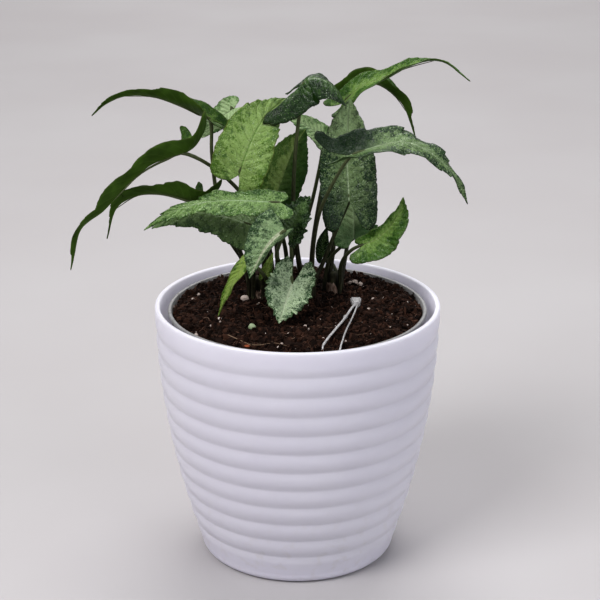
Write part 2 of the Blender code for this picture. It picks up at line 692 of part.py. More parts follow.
def tag_loop(finish):
    """A plastic loop fastener lying on the soil: a block head, a bead and a thin closed loop."""
    flat, _ = smooth_line([Vector((x, y, 0)) for x, y in TAG_ROUTE], 24)
    line = [on_soil(p.x, p.y, TAG_RADIUS + SOIL_LUMP) for p in flat]
    loop = tube("tag_loop", line, [TAG_RADIUS] * len(line), TAG_SIDES, finish)
    shape = bmesh.new()
    bmesh.ops.create_cube(shape, size=1)
    centre = on_soil(*TAG_HEAD, 1.4 * MM)
    for vert in shape.verts:
        vert.co = centre + Vector((vert.co.x * 5.6, vert.co.y * 8.0, vert.co.z * 2.0)) * MM
    bmesh.ops.bevel(shape, geom=list(shape.edges), offset=0.5 * MM, segments=1, affect="EDGES")
    head = place("head", shape)
    shape = bmesh.new()
    bmesh.ops.create_icosphere(shape, subdivisions=1, radius=1.1 * MM)
    centre = on_soil(*TAG_BEAD, 1.1 * MM)
    for vert in shape.verts:
        vert.co += centre
    bead = place("bead", shape)
    join_shapes(loop, [head, bead], "UNION")
    loop.data.materials.clear()
    loop.data.materials.append(finish)
    return loop


def build():
    for old in list(bpy.data.objects):
        bpy.data.objects.remove(old)
    pot_finish = material("pot_plastic", (0.72, 0.71, 0.75, 1), 0.35)
    turned("outer_pot", outer_profile(), POT_SIDES, pot_finish)
    grow_pot(material("grow_pot_plastic", (0.62, 0.61, 0.58, 1), 0.4))
    ground = soil(material("soil", (0.020, 0.012, 0.010, 1), 0.95))
    join_shapes(ground, soil_holes(), "DIFFERENCE")
    bark = material("stem_green", (0.045, 0.050, 0.025, 1), 0.6)
    for name, ((x, y), height) in STEMS.items():
        stem("stem_" + name, x, y, height, bark)
    for name, values in LEAVES.items():
        whole_leaf(name, values)
    tag_loop(material("clear_plastic", (0.85, 0.87, 0.88, 1), 0.15))


build()
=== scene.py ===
# An arrowhead plant in a ribbed white pot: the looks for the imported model, in its own frame.
# Metres throughout; plant and tag places are written in millimetres and scaled by mm.

import json
import math

import bmesh
import bpy
from mathutils import Matrix, Vector, noise


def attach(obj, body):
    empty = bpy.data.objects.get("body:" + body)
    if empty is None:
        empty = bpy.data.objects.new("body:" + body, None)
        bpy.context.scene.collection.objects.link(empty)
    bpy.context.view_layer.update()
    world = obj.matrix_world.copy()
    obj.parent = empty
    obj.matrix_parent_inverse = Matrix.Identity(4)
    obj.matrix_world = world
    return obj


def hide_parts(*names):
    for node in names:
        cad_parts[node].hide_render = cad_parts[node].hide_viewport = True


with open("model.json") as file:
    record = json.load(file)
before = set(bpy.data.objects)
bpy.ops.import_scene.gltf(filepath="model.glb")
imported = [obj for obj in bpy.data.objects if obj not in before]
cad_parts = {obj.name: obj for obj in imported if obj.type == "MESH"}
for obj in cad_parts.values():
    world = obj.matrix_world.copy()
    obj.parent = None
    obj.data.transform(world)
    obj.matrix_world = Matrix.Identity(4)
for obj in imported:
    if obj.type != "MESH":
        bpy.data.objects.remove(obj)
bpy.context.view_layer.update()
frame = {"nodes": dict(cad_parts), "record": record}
mm = 0.001
slots = {part["node"]: part["material_slot"] for part in frame["record"]["subparts"]}
print("frame:", len(frame["nodes"]), "nodes")


class Wire:
    # A node's socket that Python's operators work on; each one adds a Math node.
    def __init__(self, wiring, socket):
        self.wiring = wiring
        self.socket = socket

    def __add__(self, other):
        return self.wiring.maths("ADD", self, other)

    def __radd__(self, other):
        return self.wiring.maths("ADD", other, self)

    def __sub__(self, other):
        return self.wiring.maths("SUBTRACT", self, other)

    def __rsub__(self, other):
        return self.wiring.maths("SUBTRACT", other, self)

    def __mul__(self, other):
        return self.wiring.maths("MULTIPLY", self, other)

    def __rmul__(self, other):
        return self.wiring.maths("MULTIPLY", other, self)

    def __truediv__(self, other):
        return self.wiring.maths("DIVIDE", self, other)

    def __rtruediv__(self, other):
        return self.wiring.maths("DIVIDE", other, self)

    def __pow__(self, other):
        return self.wiring.maths("POWER", self, other)

    def __abs__(self):
        return self.wiring.maths("ABSOLUTE", self)

    def rise(self, low, high):
        # 0 below low, 1 above high and smooth between; the other way round if low is the larger
        sockets = {"Value": self, "From Min": low, "From Max": high}
        return self.wiring.node("ShaderNodeMapRange", {"interpolation_type": "SMOOTHSTEP"}, sockets)


class Wiring:
    def __init__(self, tree):
        self.tree = tree

    def node(self, kind, settings=None, sockets=None, output=0):
        made = self.tree.nodes.new(kind)
        for name, value in (settings or {}).items():
            setattr(made, name, value)
        for name, value in (sockets or {}).items():
            self.plug(made.inputs[name], value)
        return Wire(self, made.outputs[output])

    def plug(self, socket, value):
        if isinstance(value, Wire):
            self.tree.links.new(value.socket, socket)
        else:
            socket.default_value = value

    def maths(self, operation, *values):
        return self.node("ShaderNodeMath", {"operation": operation}, dict(enumerate(values)))

    def parts(self, vector):
        # the three numbers of a vector
        x = self.node("ShaderNodeSeparateXYZ", None, {0: vector})
        return [Wire(self, output) for output in x.socket.node.outputs]

    def noise(self, vector, scale, detail=2.0, roughness=0.5):
        sockets = {"Vector": vector, "Scale": scale, "Detail": detail, "Roughness": roughness}
        return self.node("ShaderNodeTexNoise", None, sockets)

    def cells(self, vector, scale, feature="F1"):
        sockets = {"Vector": vector, "Scale": scale}
        return self.node("ShaderNodeTexVoronoi", {"feature": feature}, sockets)


class Finish(Wiring):
    # A material with its Principled shader at hand.
    def __init__(self, name):
        self.material = bpy.data.materials.new(name)
        self.material.use_nodes = True
        super().__init__(self.material.node_tree)
        self.shader = self.tree.nodes["Principled BSDF"]

    def place(self):
        return self.node("ShaderNodeTexCoord", None, None, 3)

    def stretched(self, scale):
        return self.node("ShaderNodeMapping", None, {"Vector": self.place(), "Scale": scale})

    def mix(self, share, first, second):
        # from the first colour to the second; each is a socket or its red, green and blue
        first, second = (value if isinstance(value, Wire) else (*value, 1) for value in (first, second))
        return self.node("ShaderNodeMix", {"data_type": "RGBA"}, {0: share, 6: first, 7: second}, 2)

    def bump(self, height, distance, strength=1.0):
        sockets = {"Height": height, "Distance": distance, "Strength": strength}
        return self.node("ShaderNodeBump", None, sockets)

    def set(self, **values):
        # socket names without their spaces
        names = {name.replace(" ", "").replace(".", ""): name for name in self.shader.inputs.keys()}
        for name, value in values.items():
            self.plug(self.shader.inputs[names[name]], value)
        return self.material


def evaluatedMesh(source, name):
    # what the source's modifiers make, as a plain mesh on an object of its own
    bpy.context.view_layer.update()
    shown = source.evaluated_get(bpy.context.evaluated_depsgraph_get())
    mesh = bpy.data.meshes.new_from_object(shown)
    mesh.name = name
    bpy.data.objects.remove(source)
    made = bpy.data.objects.new(name, mesh)
    bpy.context.scene.collection.objects.link(made)
    return made


def growWith(source, tree, values, name):
    # run a Geometry Nodes tree on the source with its named inputs filled in
    modifier = source.modifiers.new(tree.name, "NODES")
    modifier.node_group = tree
    for item in tree.interface.items_tree:
        if item.item_type == "SOCKET" and item.in_out == "INPUT" and item.name in values:
            modifier[item.identifier] = values[item.name]
    return evaluatedMesh(source, name)


def newGeometryTree(name, inputs):
    tree = bpy.data.node_groups.new(name, "GeometryNodeTree")
    tree.is_modifier = True
    tree.interface.new_socket("Geometry", in_out="INPUT", socket_type="NodeSocketGeometry")
    for label, kind in inputs.items():
        tree.interface.new_socket(label, in_out="INPUT", socket_type="NodeSocket" + kind)
    tree.interface.new_socket("Geometry", in_out="OUTPUT", socket_type="NodeSocketGeometry")
    wiring = Wiring(tree)
    given = tree.nodes.new("NodeGroupInput")
    sockets = {output.name: Wire(wiring, output) for output in given.outputs if output.name}
    return tree, wiring, sockets


def closeTree(wiring, geometry, finish):
    # the end of every tree: real meshes with their material
    real = wiring.node("GeometryNodeRealizeInstances", None, {"Geometry": geometry})
    dressed = wiring.node("GeometryNodeSetMaterial", None, {"Geometry": real, "Material": finish})
    end = wiring.tree.nodes.new("NodeGroupOutput")
    wiring.plug(end.inputs["Geometry"], dressed)


def meshObject(name, points, faces, edges=()):
    mesh = bpy.data.meshes.new(name)
    mesh.from_pydata(points, edges, faces)
    made = bpy.data.objects.new(name, mesh)
    bpy.context.scene.collection.objects.link(made)
    return made


def outwards(made):
    # merge what coincides and point every face of a closed shell outwards
    shape = bmesh.new()
    shape.from_mesh(made.data)
    bmesh.ops.remove_doubles(shape, verts=shape.verts, dist=0.01 * mm)
    bmesh.ops.recalc_face_normals(shape, faces=shape.faces)
    shape.to_mesh(made.data)
    shape.free()
    made.data.shade_smooth()
    return made


def hand(piece, slot, *nodes):
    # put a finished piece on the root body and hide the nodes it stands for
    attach(piece, "root")
    if nodes:
        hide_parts(*nodes)
    return piece


# The camera that the pot's outline fits, and soft lights round it.
view = {"place": (0, -0.7636, 0.4045), "tilt": 70.28, "lens": 99, "shift": 0.00417}
plantMiddle = (0, 0, 0.14)
lamps = {
    "key": {"place": (-0.75, -0.75, 1.15), "aim": plantMiddle, "size": 0.7, "power": 14.5,
            "colour": (1.0, 0.985, 0.98)},
    "fill": {"place": (0.95, -0.70, 0.75), "aim": plantMiddle, "size": 1.1, "power": 6.0,
             "colour": (0.95, 0.97, 1.0)},
    "top": {"place": (0.10, 0.45, 1.20), "aim": plantMiddle, "size": 0.8, "power": 6.5,
            "colour": (1.0, 1.0, 1.0)},
    "far": {"place": (0, 2.1, 1.5), "aim": (0, 2.1, 0), "size": 1.8, "power": 23,
            "colour": (1.0, 0.99, 0.99)},
}
room = {"colour": (0.62, 0.61, 0.63), "strength": 0.36, "transform": "Standard",
        "look": "Medium High Contrast"}
floorLook = {"reach": 4, "patches": 3.0, "roughness": 0.8,
             "colours": ((0.455, 0.437, 0.442), (0.48, 0.467, 0.472))}

camera = bpy.data.objects.new("camera", bpy.data.cameras.new("camera"))
camera.data.lens = view["lens"]
camera.data.shift_x = view["shift"]
camera.location = view["place"]
camera.rotation_euler = (math.radians(view["tilt"]), 0, 0)
bpy.context.scene.collection.objects.link(camera)
bpy.context.scene.camera = camera
for name, values in lamps.items():
    light = bpy.data.lights.new(name, "AREA")
    light.energy = values["power"]
    light.color = values["colour"]
    light.size = values["size"]
    lamp = bpy.data.objects.new(name, light)
    lamp.location = values["place"]
    aim = Vector(values["aim"]) - lamp.location
    lamp.rotation_euler = aim.to_track_quat("-Z", "Y").to_euler()
    bpy.context.scene.collection.objects.link(lamp)
world = bpy.data.worlds.new("room")
world.use_nodes = True
background = world.node_tree.nodes["Background"]
background.inputs["Color"].default_value = (*room["colour"], 1)
background.inputs["Strength"].default_value = room["strength"]
bpy.context.scene.world = world
bpy.context.scene.view_settings.view_transform = room["transform"]
bpy.context.scene.view_settings.look = room["look"]

floorPaint = Finish("pale floor")
floorTone = floorPaint.noise(floorPaint.place(), floorLook["patches"], 3.0).rise(0.3, 0.7)
floorColour = floorPaint.mix(floorTone, *floorLook["colours"])
floorPaint.set(BaseColor=floorColour, Roughness=floorLook["roughness"])
side = floorLook["reach"]
floor = meshObject("floor", [(-side, -side, 0), (side, -side, 0), (side, side, 0), (-side, side, 0)],
                   [(0, 1, 2, 3)])
floor.data.materials.append(floorPaint.material)
print("stage set")


# Outer pot and grow pot: a profile of (radius, height, groove share) spun round Z.
pot = {
    "height": 130 * mm, "rim": 70 * mm, "narrowing": 22.6 * mm, "wall": 2.5 * mm, "floor": 3.5 * mm,
    "foot": 5 * mm, "lip": 1.0 * mm, "lipRoundness": 0.7, "grooves": 11, "topGroove": 117.5 * mm,
    "pitch": 10.08 * mm, "depth": 0.9 * mm, "sides": 160, "bodySteps": 170, "wellHeight": 12 * mm,
    "whites": ((0.700, 0.685, 0.810), (0.730, 0.716, 0.835)), "dust": (0.56, 0.53, 0.51),
    "glow": (0.065, 0.063, 0.068), "glowFrom": 100 * mm, "glowTo": 122 * mm, "roughness": 0.36,
}
growPot = {
    "top": 127.6 * mm, "rim": 63.6 * mm, "neck": 62.8 * mm, "foot": 42 * mm, "wall": 0.9 * mm,
    "floor": 1.2 * mm, "gap": 0.3 * mm, "lipDrop": 2.2 * mm, "lipInset": 0.3 * mm, "sides": 160,
    "drains": 5, "drainRadius": 3 * mm, "drainCircle": 24 * mm, "drainHeight": 4.5 * mm,
    "drillLength": 8 * mm, "greys": ((0.30, 0.30, 0.30), (0.40, 0.40, 0.40)), "stain": (0.10, 0.075, 0.06),
    "roughness": 0.38,
}


def bodyRadius(height):
    share = (pot["height"] - height) / pot["height"]
    return pot["rim"] - pot["narrowing"] * share * share


def potProfile():
    wall, lip, foot, low = pot["wall"], pot["lip"], pot["foot"], pot["floor"]
    shoulder = pot["height"] - lip
    hub = 0.3 * pot["rim"]  # a ring part of the way in keeps the flat faces short
    points = [(0, 0, 0), (hub, 0, 0), (bodyRadius(foot) - foot - 2 * mm, 0, 0)]
    for step in range(9):
        turn = math.radians(90 * step / 8)
        points.append((bodyRadius(foot) - foot * (1 - math.sin(turn)), foot * (1 - math.cos(turn)), 0))
    for step in range(1, pot["bodySteps"]):
        height = foot + (shoulder - foot) * step / pot["bodySteps"]
        points.append((bodyRadius(height), height, 1))
    for step in range(13):
        turn = math.radians(180 * step / 12)
        across = math.copysign(abs(math.cos(turn)) ** pot["lipRoundness"], math.cos(turn))
        rise = lip * math.sin(turn) ** pot["lipRoundness"]
        points.append((pot["rim"] - wall / 2 + wall / 2 * across, shoulder + rise, 0))
    for step in range(1, 24):
        height = shoulder - (shoulder - pot["wellHeight"]) * step / 23
        points.append((bodyRadius(height) - wall, height, 0))
    inner = bodyRadius(low) - wall
    points += [(inner - 0.4 * mm, low + 2.5 * mm, 0), (inner - 2 * mm, low, 0), (hub, low, 0), (0, low, 0)]
    return points


def growInside(height):
    low = pot["floor"] + growPot["gap"] + growPot["floor"]
    share = (height - low) / (growPot["top"] - low)
    return growPot["foot"] + (growPot["neck"] - growPot["foot"]) * share - growPot["wall"]


def growProfile():
    low = pot["floor"] + growPot["gap"]
    inner = low + growPot["floor"]
    top, rim, foot, inset = growPot["top"], growPot["rim"], growPot["foot"], growPot["lipInset"]
    neck = top - growPot["lipDrop"]
    points = [(0, low, 0), (0.5 * foot, low, 0), (foot - 1 * mm, low, 0), (foot, low + 1 * mm, 0)]
    for step in range(1, 25):
        share = step / 24
        points.append((foot + (growPot["neck"] - foot) * share, low + (neck - low) * share, 0))
    points += [(rim - 0.2 * mm, neck + 0.1 * mm, 0), (rim, neck + 0.4 * mm, 0), (rim, top - 0.5 * mm, 0)]
    points += [(rim - 0.15 * mm, top - 0.15 * mm, 0), (rim - 0.5 * mm, top, 0)]
    points.append((growInside(top) + inset, top, 0))
    for step in range(25):
        height = top - inset - (top - inset - inner) * step / 24
        points.append((growInside(height), height, 0))
    points += [(0.5 * foot, inner, 0), (0, inner, 0)]
    return points


def spinTree():
    # every column of a grid is one point of the profile, every row one side of the turn
    inputs = {"Sides": "Int", "Groove Top": "Float", "Groove Pitch": "Float", "Groove Depth": "Float",
              "Finish": "Material"}
    tree, wiring, given = newGeometryTree("spun profile", inputs)
    size = wiring.node("GeometryNodeAttributeDomainSize", None, {"Geometry": given["Geometry"]})
    rows = given["Sides"] + 1
    grid = wiring.node("GeometryNodeMeshGrid", None, {"Vertices X": size, "Vertices Y": rows})
    index = wiring.node("GeometryNodeInputIndex")
    column = wiring.maths("FLOOR", index / rows + 0.0001)  # the small sum outweighs rounding
    row = index - column * rows
    position = wiring.node("GeometryNodeInputPosition")
    found = wiring.node("GeometryNodeSampleIndex", {"data_type": "FLOAT_VECTOR"},
                        {"Geometry": given["Geometry"], "Value": position, "Index": column})
    mark = wiring.node("GeometryNodeInputNamedAttribute", {"data_type": "FLOAT"}, {"Name": "groove"})
    grooved = wiring.node("GeometryNodeSampleIndex", {"data_type": "FLOAT"},
                          {"Geometry": given["Geometry"], "Value": mark, "Index": column})
    radius, _, height = wiring.parts(found)
    crest = abs(wiring.maths("SINE", (height - given["Groove Top"]) * math.pi / given["Groove Pitch"])) ** 0.9
    radius = radius - given["Groove Depth"] * grooved * (1 - crest)
    turn = row * (2 * math.pi) / given["Sides"]
    place = wiring.node("ShaderNodeCombineXYZ", None, {
        "X": radius * wiring.maths("COSINE", turn), "Y": radius * wiring.maths("SINE", turn), "Z": height})
    spun = wiring.node("GeometryNodeSetPosition", None, {"Geometry": grid, "Position": place})
    joined = wiring.node("GeometryNodeMergeByDistance", None, {"Geometry": spun, "Distance": 0.01 * mm})
    smooth = wiring.node("GeometryNodeSetShadeSmooth", None, {"Geometry": joined})
    closeTree(wiring, smooth, given["Finish"])
    return tree


def spun(name, profile, tree, values):
    line = meshObject(name + " profile", [(r, 0, z) for r, z, _ in profile], [],
                      [(i, i + 1) for i in range(len(profile) - 1)])
    marks = line.data.attributes.new("groove", "FLOAT", "POINT")
    for mark, (_, height, groove) in zip(marks.data, profile):
        first = pot["topGroove"] + pot["pitch"] / 2
        last = pot["topGroove"] - (pot["grooves"] - 0.5) * pot["pitch"]
        mark.value = groove * (last < height < first)
    return outwards(growWith(line, tree, values, name))


def potFinish():
    # satin moulded plastic: cool white, faint cloudiness, dust near the foot and a few rubbed spots
    paint = Finish("satin white plastic")
    spot = paint.place()
    x, y, height = paint.parts(spot)
    cloud = paint.noise(spot, 14.0, 3.0)
    grain = paint.noise(spot, 2600.0, 2.0)
    rubbed = paint.noise(paint.stretched((40, 40, 190)), 1.0, 4.0).rise(0.60, 0.78)
    dust = paint.noise(spot, 160.0, 4.0).rise(0.50, 0.75) * height.rise(60 * mm, 0.0)
    colour = paint.mix(cloud.rise(0.3, 0.7), *pot["whites"])
    colour = paint.mix(dust * 0.35, colour, pot["dust"])
    # painted light: the inner wall near the rim glows, standing in for the light that comes through the thin
    # wall round the grow pot
    reach = (x * x + y * y) ** 0.5
    inside = reach.rise(pot["rim"] - 1.2 * mm, pot["rim"] - 2.2 * mm)
    glow = paint.mix(inside * height.rise(pot["glowFrom"], pot["glowTo"]), (0, 0, 0), pot["glow"])
    paint.set(BaseColor=colour, Roughness=pot["roughness"] + rubbed * 0.12 + cloud * 0.06,
              Normal=paint.bump(grain * 0.6 + cloud, 0.04 * mm, 0.5),
              SubsurfaceWeight=0.7, SubsurfaceScale=8 * mm, SubsurfaceRadius=(1, 1, 1),
              EmissionColor=glow, EmissionStrength=1.0)
    return paint.material


def growPotFinish():
    # thin milky plastic with scuffs along its wall and soil stains
    paint = Finish("milky thin plastic")
    streak = paint.noise(paint.stretched((60, 60, 900)), 1.0, 3.0)
    stain = paint.noise(paint.place(), 240.0, 5.0, 0.7).rise(0.52, 0.70)
    colour = paint.mix(streak, *growPot["greys"])
    colour = paint.mix(stain * 0.6, colour, growPot["stain"])
    paint.set(BaseColor=colour, Roughness=growPot["roughness"] + stain * 0.35,
              Normal=paint.bump(streak, 0.1 * mm, 0.4), TransmissionWeight=0.3)
    return paint.material


def drilled(piece):
    # the grow pot's drain holes
    drills = []
    for hole in range(growPot["drains"]):
        turn = 2 * math.pi * hole / growPot["drains"]
        bpy.ops.mesh.primitive_cylinder_add(vertices=24, radius=growPot["drainRadius"],
                                            depth=growPot["drillLength"])
        drill = bpy.context.object
        centre = Vector((math.cos(turn), math.sin(turn), 0)) * growPot["drainCircle"]
        drill.data.transform(Matrix.Translation(centre + Vector((0, 0, growPot["drainHeight"]))))
        drills.append(drill)
    for drill in drills:
        cut = piece.modifiers.new("drain", "BOOLEAN")
        cut.operation = "DIFFERENCE"
        cut.object = drill
    made = evaluatedMesh(piece, "grow_pot_shell")
    for drill in drills:
        bpy.data.objects.remove(drill)
    return made


spinner = spinTree()
outerShell = spun("outer_pot_shell", potProfile(), spinner, {
    "Sides": pot["sides"], "Groove Top": pot["topGroove"], "Groove Pitch": pot["pitch"],
    "Groove Depth": pot["depth"], "Finish": potFinish()})
hand(outerShell, "outer_pot", "outer_pot")
growShell = drilled(spun("grow_pot_shell", growProfile(), spinner, {
    "Sides": growPot["sides"], "Groove Top": 0.0, "Groove Pitch": 1.0, "Groove Depth": 0.0,
    "Finish": growPotFinish()}))
hand(growShell, "grow_pot", "grow_pot")
print("pots turned")


# Soil: a lumpy heap with crumbs, fibres and white grains strewn over it.
soil = {
    "edge": 126.2 * mm, "heap": 1.8 * mm, "lump": 0.3 * mm, "rough": 1.25 * mm, "edgeDip": 2.6 * mm,
    "dipFrom": 0.93, "rings": 70, "sides": 180, "gap": 0.3 * mm, "strewnGap": 0.5 * mm,
    "colours": ((0.003, 0.0015, 0.001), (0.018, 0.009, 0.006)), "fleck": (0.060, 0.032, 0.022),
}
# What is strewn on it: how many on a square metre, sizes, and a finish between two colours.
strewn = {
    "soil_crumbs": {
        "tree": "grains", "Density": 640000.0, "Smallest": 0.3 * mm, "Largest": 1.9 * mm, "Flatness": 0.5,
        "Seed": 3, "material": "peat crumbs", "colours": ((0.003, 0.0015, 0.001), (0.060, 0.028, 0.018)),
        "roughness": 0.75, "bump": 0.4 * mm},
    "soil_chips": {
        "tree": "grains", "Density": 52000.0, "Smallest": 0.9 * mm, "Largest": 2.6 * mm, "Flatness": 0.32,
        "Seed": 11, "material": "bark chips", "colours": ((0.006, 0.003, 0.002), (0.080, 0.036, 0.022)),
        "roughness": 0.70, "bump": 0.4 * mm},
    "soil_grains": {
        "tree": "pebbles", "Density": 9000.0, "Smallest": 0.22 * mm, "Largest": 0.95 * mm, "Flatness": 0.8,
        "Seed": 5, "material": "white grains", "colours": ((0.46, 0.38, 0.34), (0.80, 0.74, 0.70)),
        "roughness": 0.80, "bump": 0.3 * mm},
    "soil_fibres": {
        "tree": "fibres", "Density": 150000.0, "Longest": 7.5 * mm, "Thickness": 0.095 * mm,
        "Seed": 8, "material": "root fibres", "colours": ((0.020, 0.009, 0.006), (0.260, 0.140, 0.095)),
        "roughness": 0.70, "bump": 0.1 * mm},
    "soil_threads": {
        "tree": "fibres", "Density": 4200.0, "Longest": 21.0 * mm, "Thickness": 0.13 * mm,
        "Seed": 21, "material": "pale root threads",
        "colours": ((0.120, 0.075, 0.050), (0.330, 0.240, 0.180)), "roughness": 0.65, "bump": 0.1 * mm},
}

# White grains that show in the photograph: (x, y, radius) in mm.
placedGrains = [
    (29.3, 29.5, 1.9), (31.8, 28.0, 1.5), (26.9, 30.2, 1.3), (33.8, 26.6, 0.8), (37.4, 5.4, 1.0),
    (35.5, -4.7, 0.7), (56.0, 15.8, 0.7), (-26.0, 5.4, 2.3), (-49.3, 14.3, 1.1), (-40.6, -31.0, 1.0),
    (-47.8, -37.0, 1.1), (-18.2, 9.8, 0.9), (-4.0, -40.3, 0.9), (-9.1, -41.6, 0.7), (-7.2, -52.0, 0.8),
    (3.6, -32.4, 0.9), (-52.0, 8.0, 0.8), (-37.0, -24.0, 0.6), (12.0, -46.0, 0.7), (44.0, -30.0, 0.6),
]


def soilHeight(x, y):
    edge = growInside(soil["edge"])
    inward = min(1, 3 * max(0, 1 - (x * x + y * y) / (edge * edge)))
    lumps = math.sin(x / (6.1 * mm) + 0.7) * math.sin(y / (5.3 * mm) + 0.2)
    lumps += 0.6 * math.sin(x / (3.7 * mm) - y / (4.4 * mm))
    return soil["edge"] + soil["heap"] * inward + soil["lump"] * lumps * inward


def soilSurface(x, y):
    # the smooth heap with clods of several sizes
    spot = Vector((x, y, 0)) / mm
    clods = noise.noise(spot * 0.13) + 0.6 * noise.noise(spot * 0.34) + 0.35 * noise.noise(spot * 0.9)
    ring = math.hypot(x, y) / growInside(soil["edge"])
    ragged = 0.5 + noise.noise(spot * 0.21 + Vector((0, 0, 7))) + 0.7 * noise.noise(spot * 0.55)
    dip = soil["edgeDip"] * max(0, ragged) * min(1, max(0, (ring - soil["dipFrom"]) / 0.06))
    return soilHeight(x, y) + soil["rough"] * clods - dip


def soilBody():
    low = pot["floor"] + growPot["gap"] + growPot["floor"] + soil["gap"]
    rings, sides = soil["rings"], soil["sides"]
    rim = growInside(soil["edge"]) - soil["gap"]
    points = [(0, 0, soilSurface(0, 0))]
    for ring in range(1, rings + 1):
        radius = rim * (ring / rings) ** 0.8
        for side in range(sides):
            turn = 2 * math.pi * side / sides
            x, y = radius * math.cos(turn), radius * math.sin(turn)
            points.append((x, y, soilSurface(x, y)))
    foot = growInside(low) - soil["gap"]
    for side in range(sides):
        turn = 2 * math.pi * side / sides
        points.append((foot * math.cos(turn), foot * math.sin(turn), low))
    points.append((0, 0, low))
    faces = [(0, 1 + side, 1 + (side + 1) % sides) for side in range(sides)]
    for ring in range(rings):
        start = 1 + ring * sides
        for side in range(sides):
            after = (side + 1) % sides
            faces.append((start + side, start + sides + side, start + sides + after, start + after))
    end = 1 + rings * sides
    faces += [(end + (side + 1) % sides, end + side, len(points) - 1) for side in range(sides)]
    return points, faces, sides * rings


def startStrewing(name, inputs):
    # the start of a tree that strews things over its surface
    inputs = {**inputs, "Density": "Float", "Seed": "Int", "Finish": "Material"}
    tree, wiring, given = newGeometryTree(name, inputs)
    spread = wiring.node("GeometryNodeDistributePointsOnFaces", None, {
        "Mesh": given["Geometry"], "Density": given["Density"], "Seed": given["Seed"]})
    return tree, wiring, given, spread


def luck(wiring, seed, low=0.0, high=1.0):
    # a random number for each point
    sockets = {2: low, 3: high, "Seed": seed}
    return wiring.node("FunctionNodeRandomValue", {"data_type": "FLOAT"}, sockets, 1)


def randomTurn(wiring, seed, low, high):
    # a random turn for each point, between two turns about x, y and z
    sockets = {0: low, 1: high, "Seed": seed}
    return wiring.node("FunctionNodeRandomValue", {"data_type": "FLOAT_VECTOR"}, sockets)


def shadedAndBent(wiring, placed, seed, scale, centre, reach):
    # store a shade on each thing strewn, then bend the real shapes with a noise
    marked = wiring.node("GeometryNodeStoreNamedAttribute", {"data_type": "FLOAT", "domain": "INSTANCE"}, {
        "Geometry": placed, "Name": "shade", "Value": luck(wiring, seed)})
    real = wiring.node("GeometryNodeRealizeInstances", None, {"Geometry": marked})
    position = wiring.node("GeometryNodeInputPosition")
    rough = wiring.node("ShaderNodeTexNoise", None, {"Vector": position, "Scale": scale, "Detail": 1.0}, 1)
    centred = wiring.node("ShaderNodeVectorMath", {"operation": "SUBTRACT"}, {0: rough, 1: centre})
    offset = wiring.node("ShaderNodeVectorMath", {"operation": "MULTIPLY"}, {0: centred, 1: reach})
    return wiring.node("GeometryNodeSetPosition", None, {"Geometry": real, "Offset": offset})


def scatterTree(name, subdivisions):
    # rough grains on a surface: random places, turns, sizes and shades
    inputs = {"Smallest": "Float", "Largest": "Float", "Flatness": "Float"}
    tree, wiring, given, spread = startStrewing(name, inputs)
    seed = given["Seed"]
    grain = wiring.node("GeometryNodeMeshIcoSphere", None, {"Radius": 1.0, "Subdivisions": subdivisions})
    turn = randomTurn(wiring, seed + 1, (0, 0, 0), (6.283, 6.283, 6.283))
    size = given["Smallest"] + (given["Largest"] - given["Smallest"]) * luck(wiring, seed + 2) ** 2.6
    shape = luck(wiring, seed + 3, 0.6, 1.9)
    scale = wiring.node("ShaderNodeCombineXYZ", None, {
        "X": size * shape, "Y": size, "Z": size * given["Flatness"]})
    placed = wiring.node("GeometryNodeInstanceOnPoints", None, {
        "Points": spread, "Instance": grain, "Rotation": turn, "Scale": scale})
    bent = shadedAndBent(wiring, placed, seed + 4, 900.0, (0.5, 0.5, 0.5), (1.5 * mm, 1.5 * mm, 1.5 * mm))
    closeTree(wiring, bent, given["Finish"])
    return tree


def fibreTree():
    # fine bent threads lying on a surface
    tree, wiring, given, spread = startStrewing("strewn fibres", {"Longest": "Float", "Thickness": "Float"})
    seed = given["Seed"]
    line = wiring.node("GeometryNodeCurvePrimitiveLine", None, {"Start": (-0.5, 0, 0), "End": (0.5, 0, 0)})
    dense = wiring.node("GeometryNodeResampleCurve", None, {"Curve": line, "Count": 8})
    turn = randomTurn(wiring, seed + 1, (0, -0.35, 0), (0, 0.25, 6.283))
    chance = luck(wiring, seed + 2, 0.2, 1.0)
    placed = wiring.node("GeometryNodeInstanceOnPoints", None, {
        "Points": spread, "Instance": dense, "Rotation": turn, "Scale": given["Longest"] * chance * chance})
    bent = shadedAndBent(wiring, placed, seed + 4, 260.0, (0.5, 0.5, 0.35), (6 * mm, 6 * mm, 2.4 * mm))
    section = wiring.node("GeometryNodeCurvePrimitiveCircle", None, {
        "Resolution": 3, "Radius": given["Thickness"]})
    solid = wiring.node("GeometryNodeCurveToMesh", None, {
        "Curve": bent, "Profile Curve": section, "Fill Caps": True})
    closeTree(wiring, solid, given["Finish"])
    return tree


def soilFinish():
    paint = Finish("damp potting soil")
    spot = paint.place()
    clod = paint.noise(spot, 300.0, 6.0, 0.65)
    fleck = paint.noise(spot, 1500.0, 3.0).rise(0.58, 0.72)
    colour = paint.mix(clod.rise(0.3, 0.7), *soil["colours"])
    colour = paint.mix(fleck * 0.5, colour, soil["fleck"])
    paint.set(BaseColor=colour, Roughness=0.72 + clod * 0.25, Normal=paint.bump(clod, 1.5 * mm, 0.8),
              SpecularIORLevel=0.1)
    return paint.material


def shadedFinish(name, colours, roughness, bumpDepth):
    # each grain takes its own colour between the two, from the shade stored on it
    paint = Finish(name)
    shade = paint.node("ShaderNodeAttribute", {"attribute_name": "shade"}, None, 2)
    grain = paint.noise(paint.place(), 1800.0, 3.0)
    colour = paint.mix((shade ** 2.2) * 0.8 + grain * 0.25, *colours)
    paint.set(BaseColor=colour, Roughness=roughness + grain * 0.15, Normal=paint.bump(grain, bumpDepth, 0.7),
              SpecularIORLevel=0.15)
    return paint.material


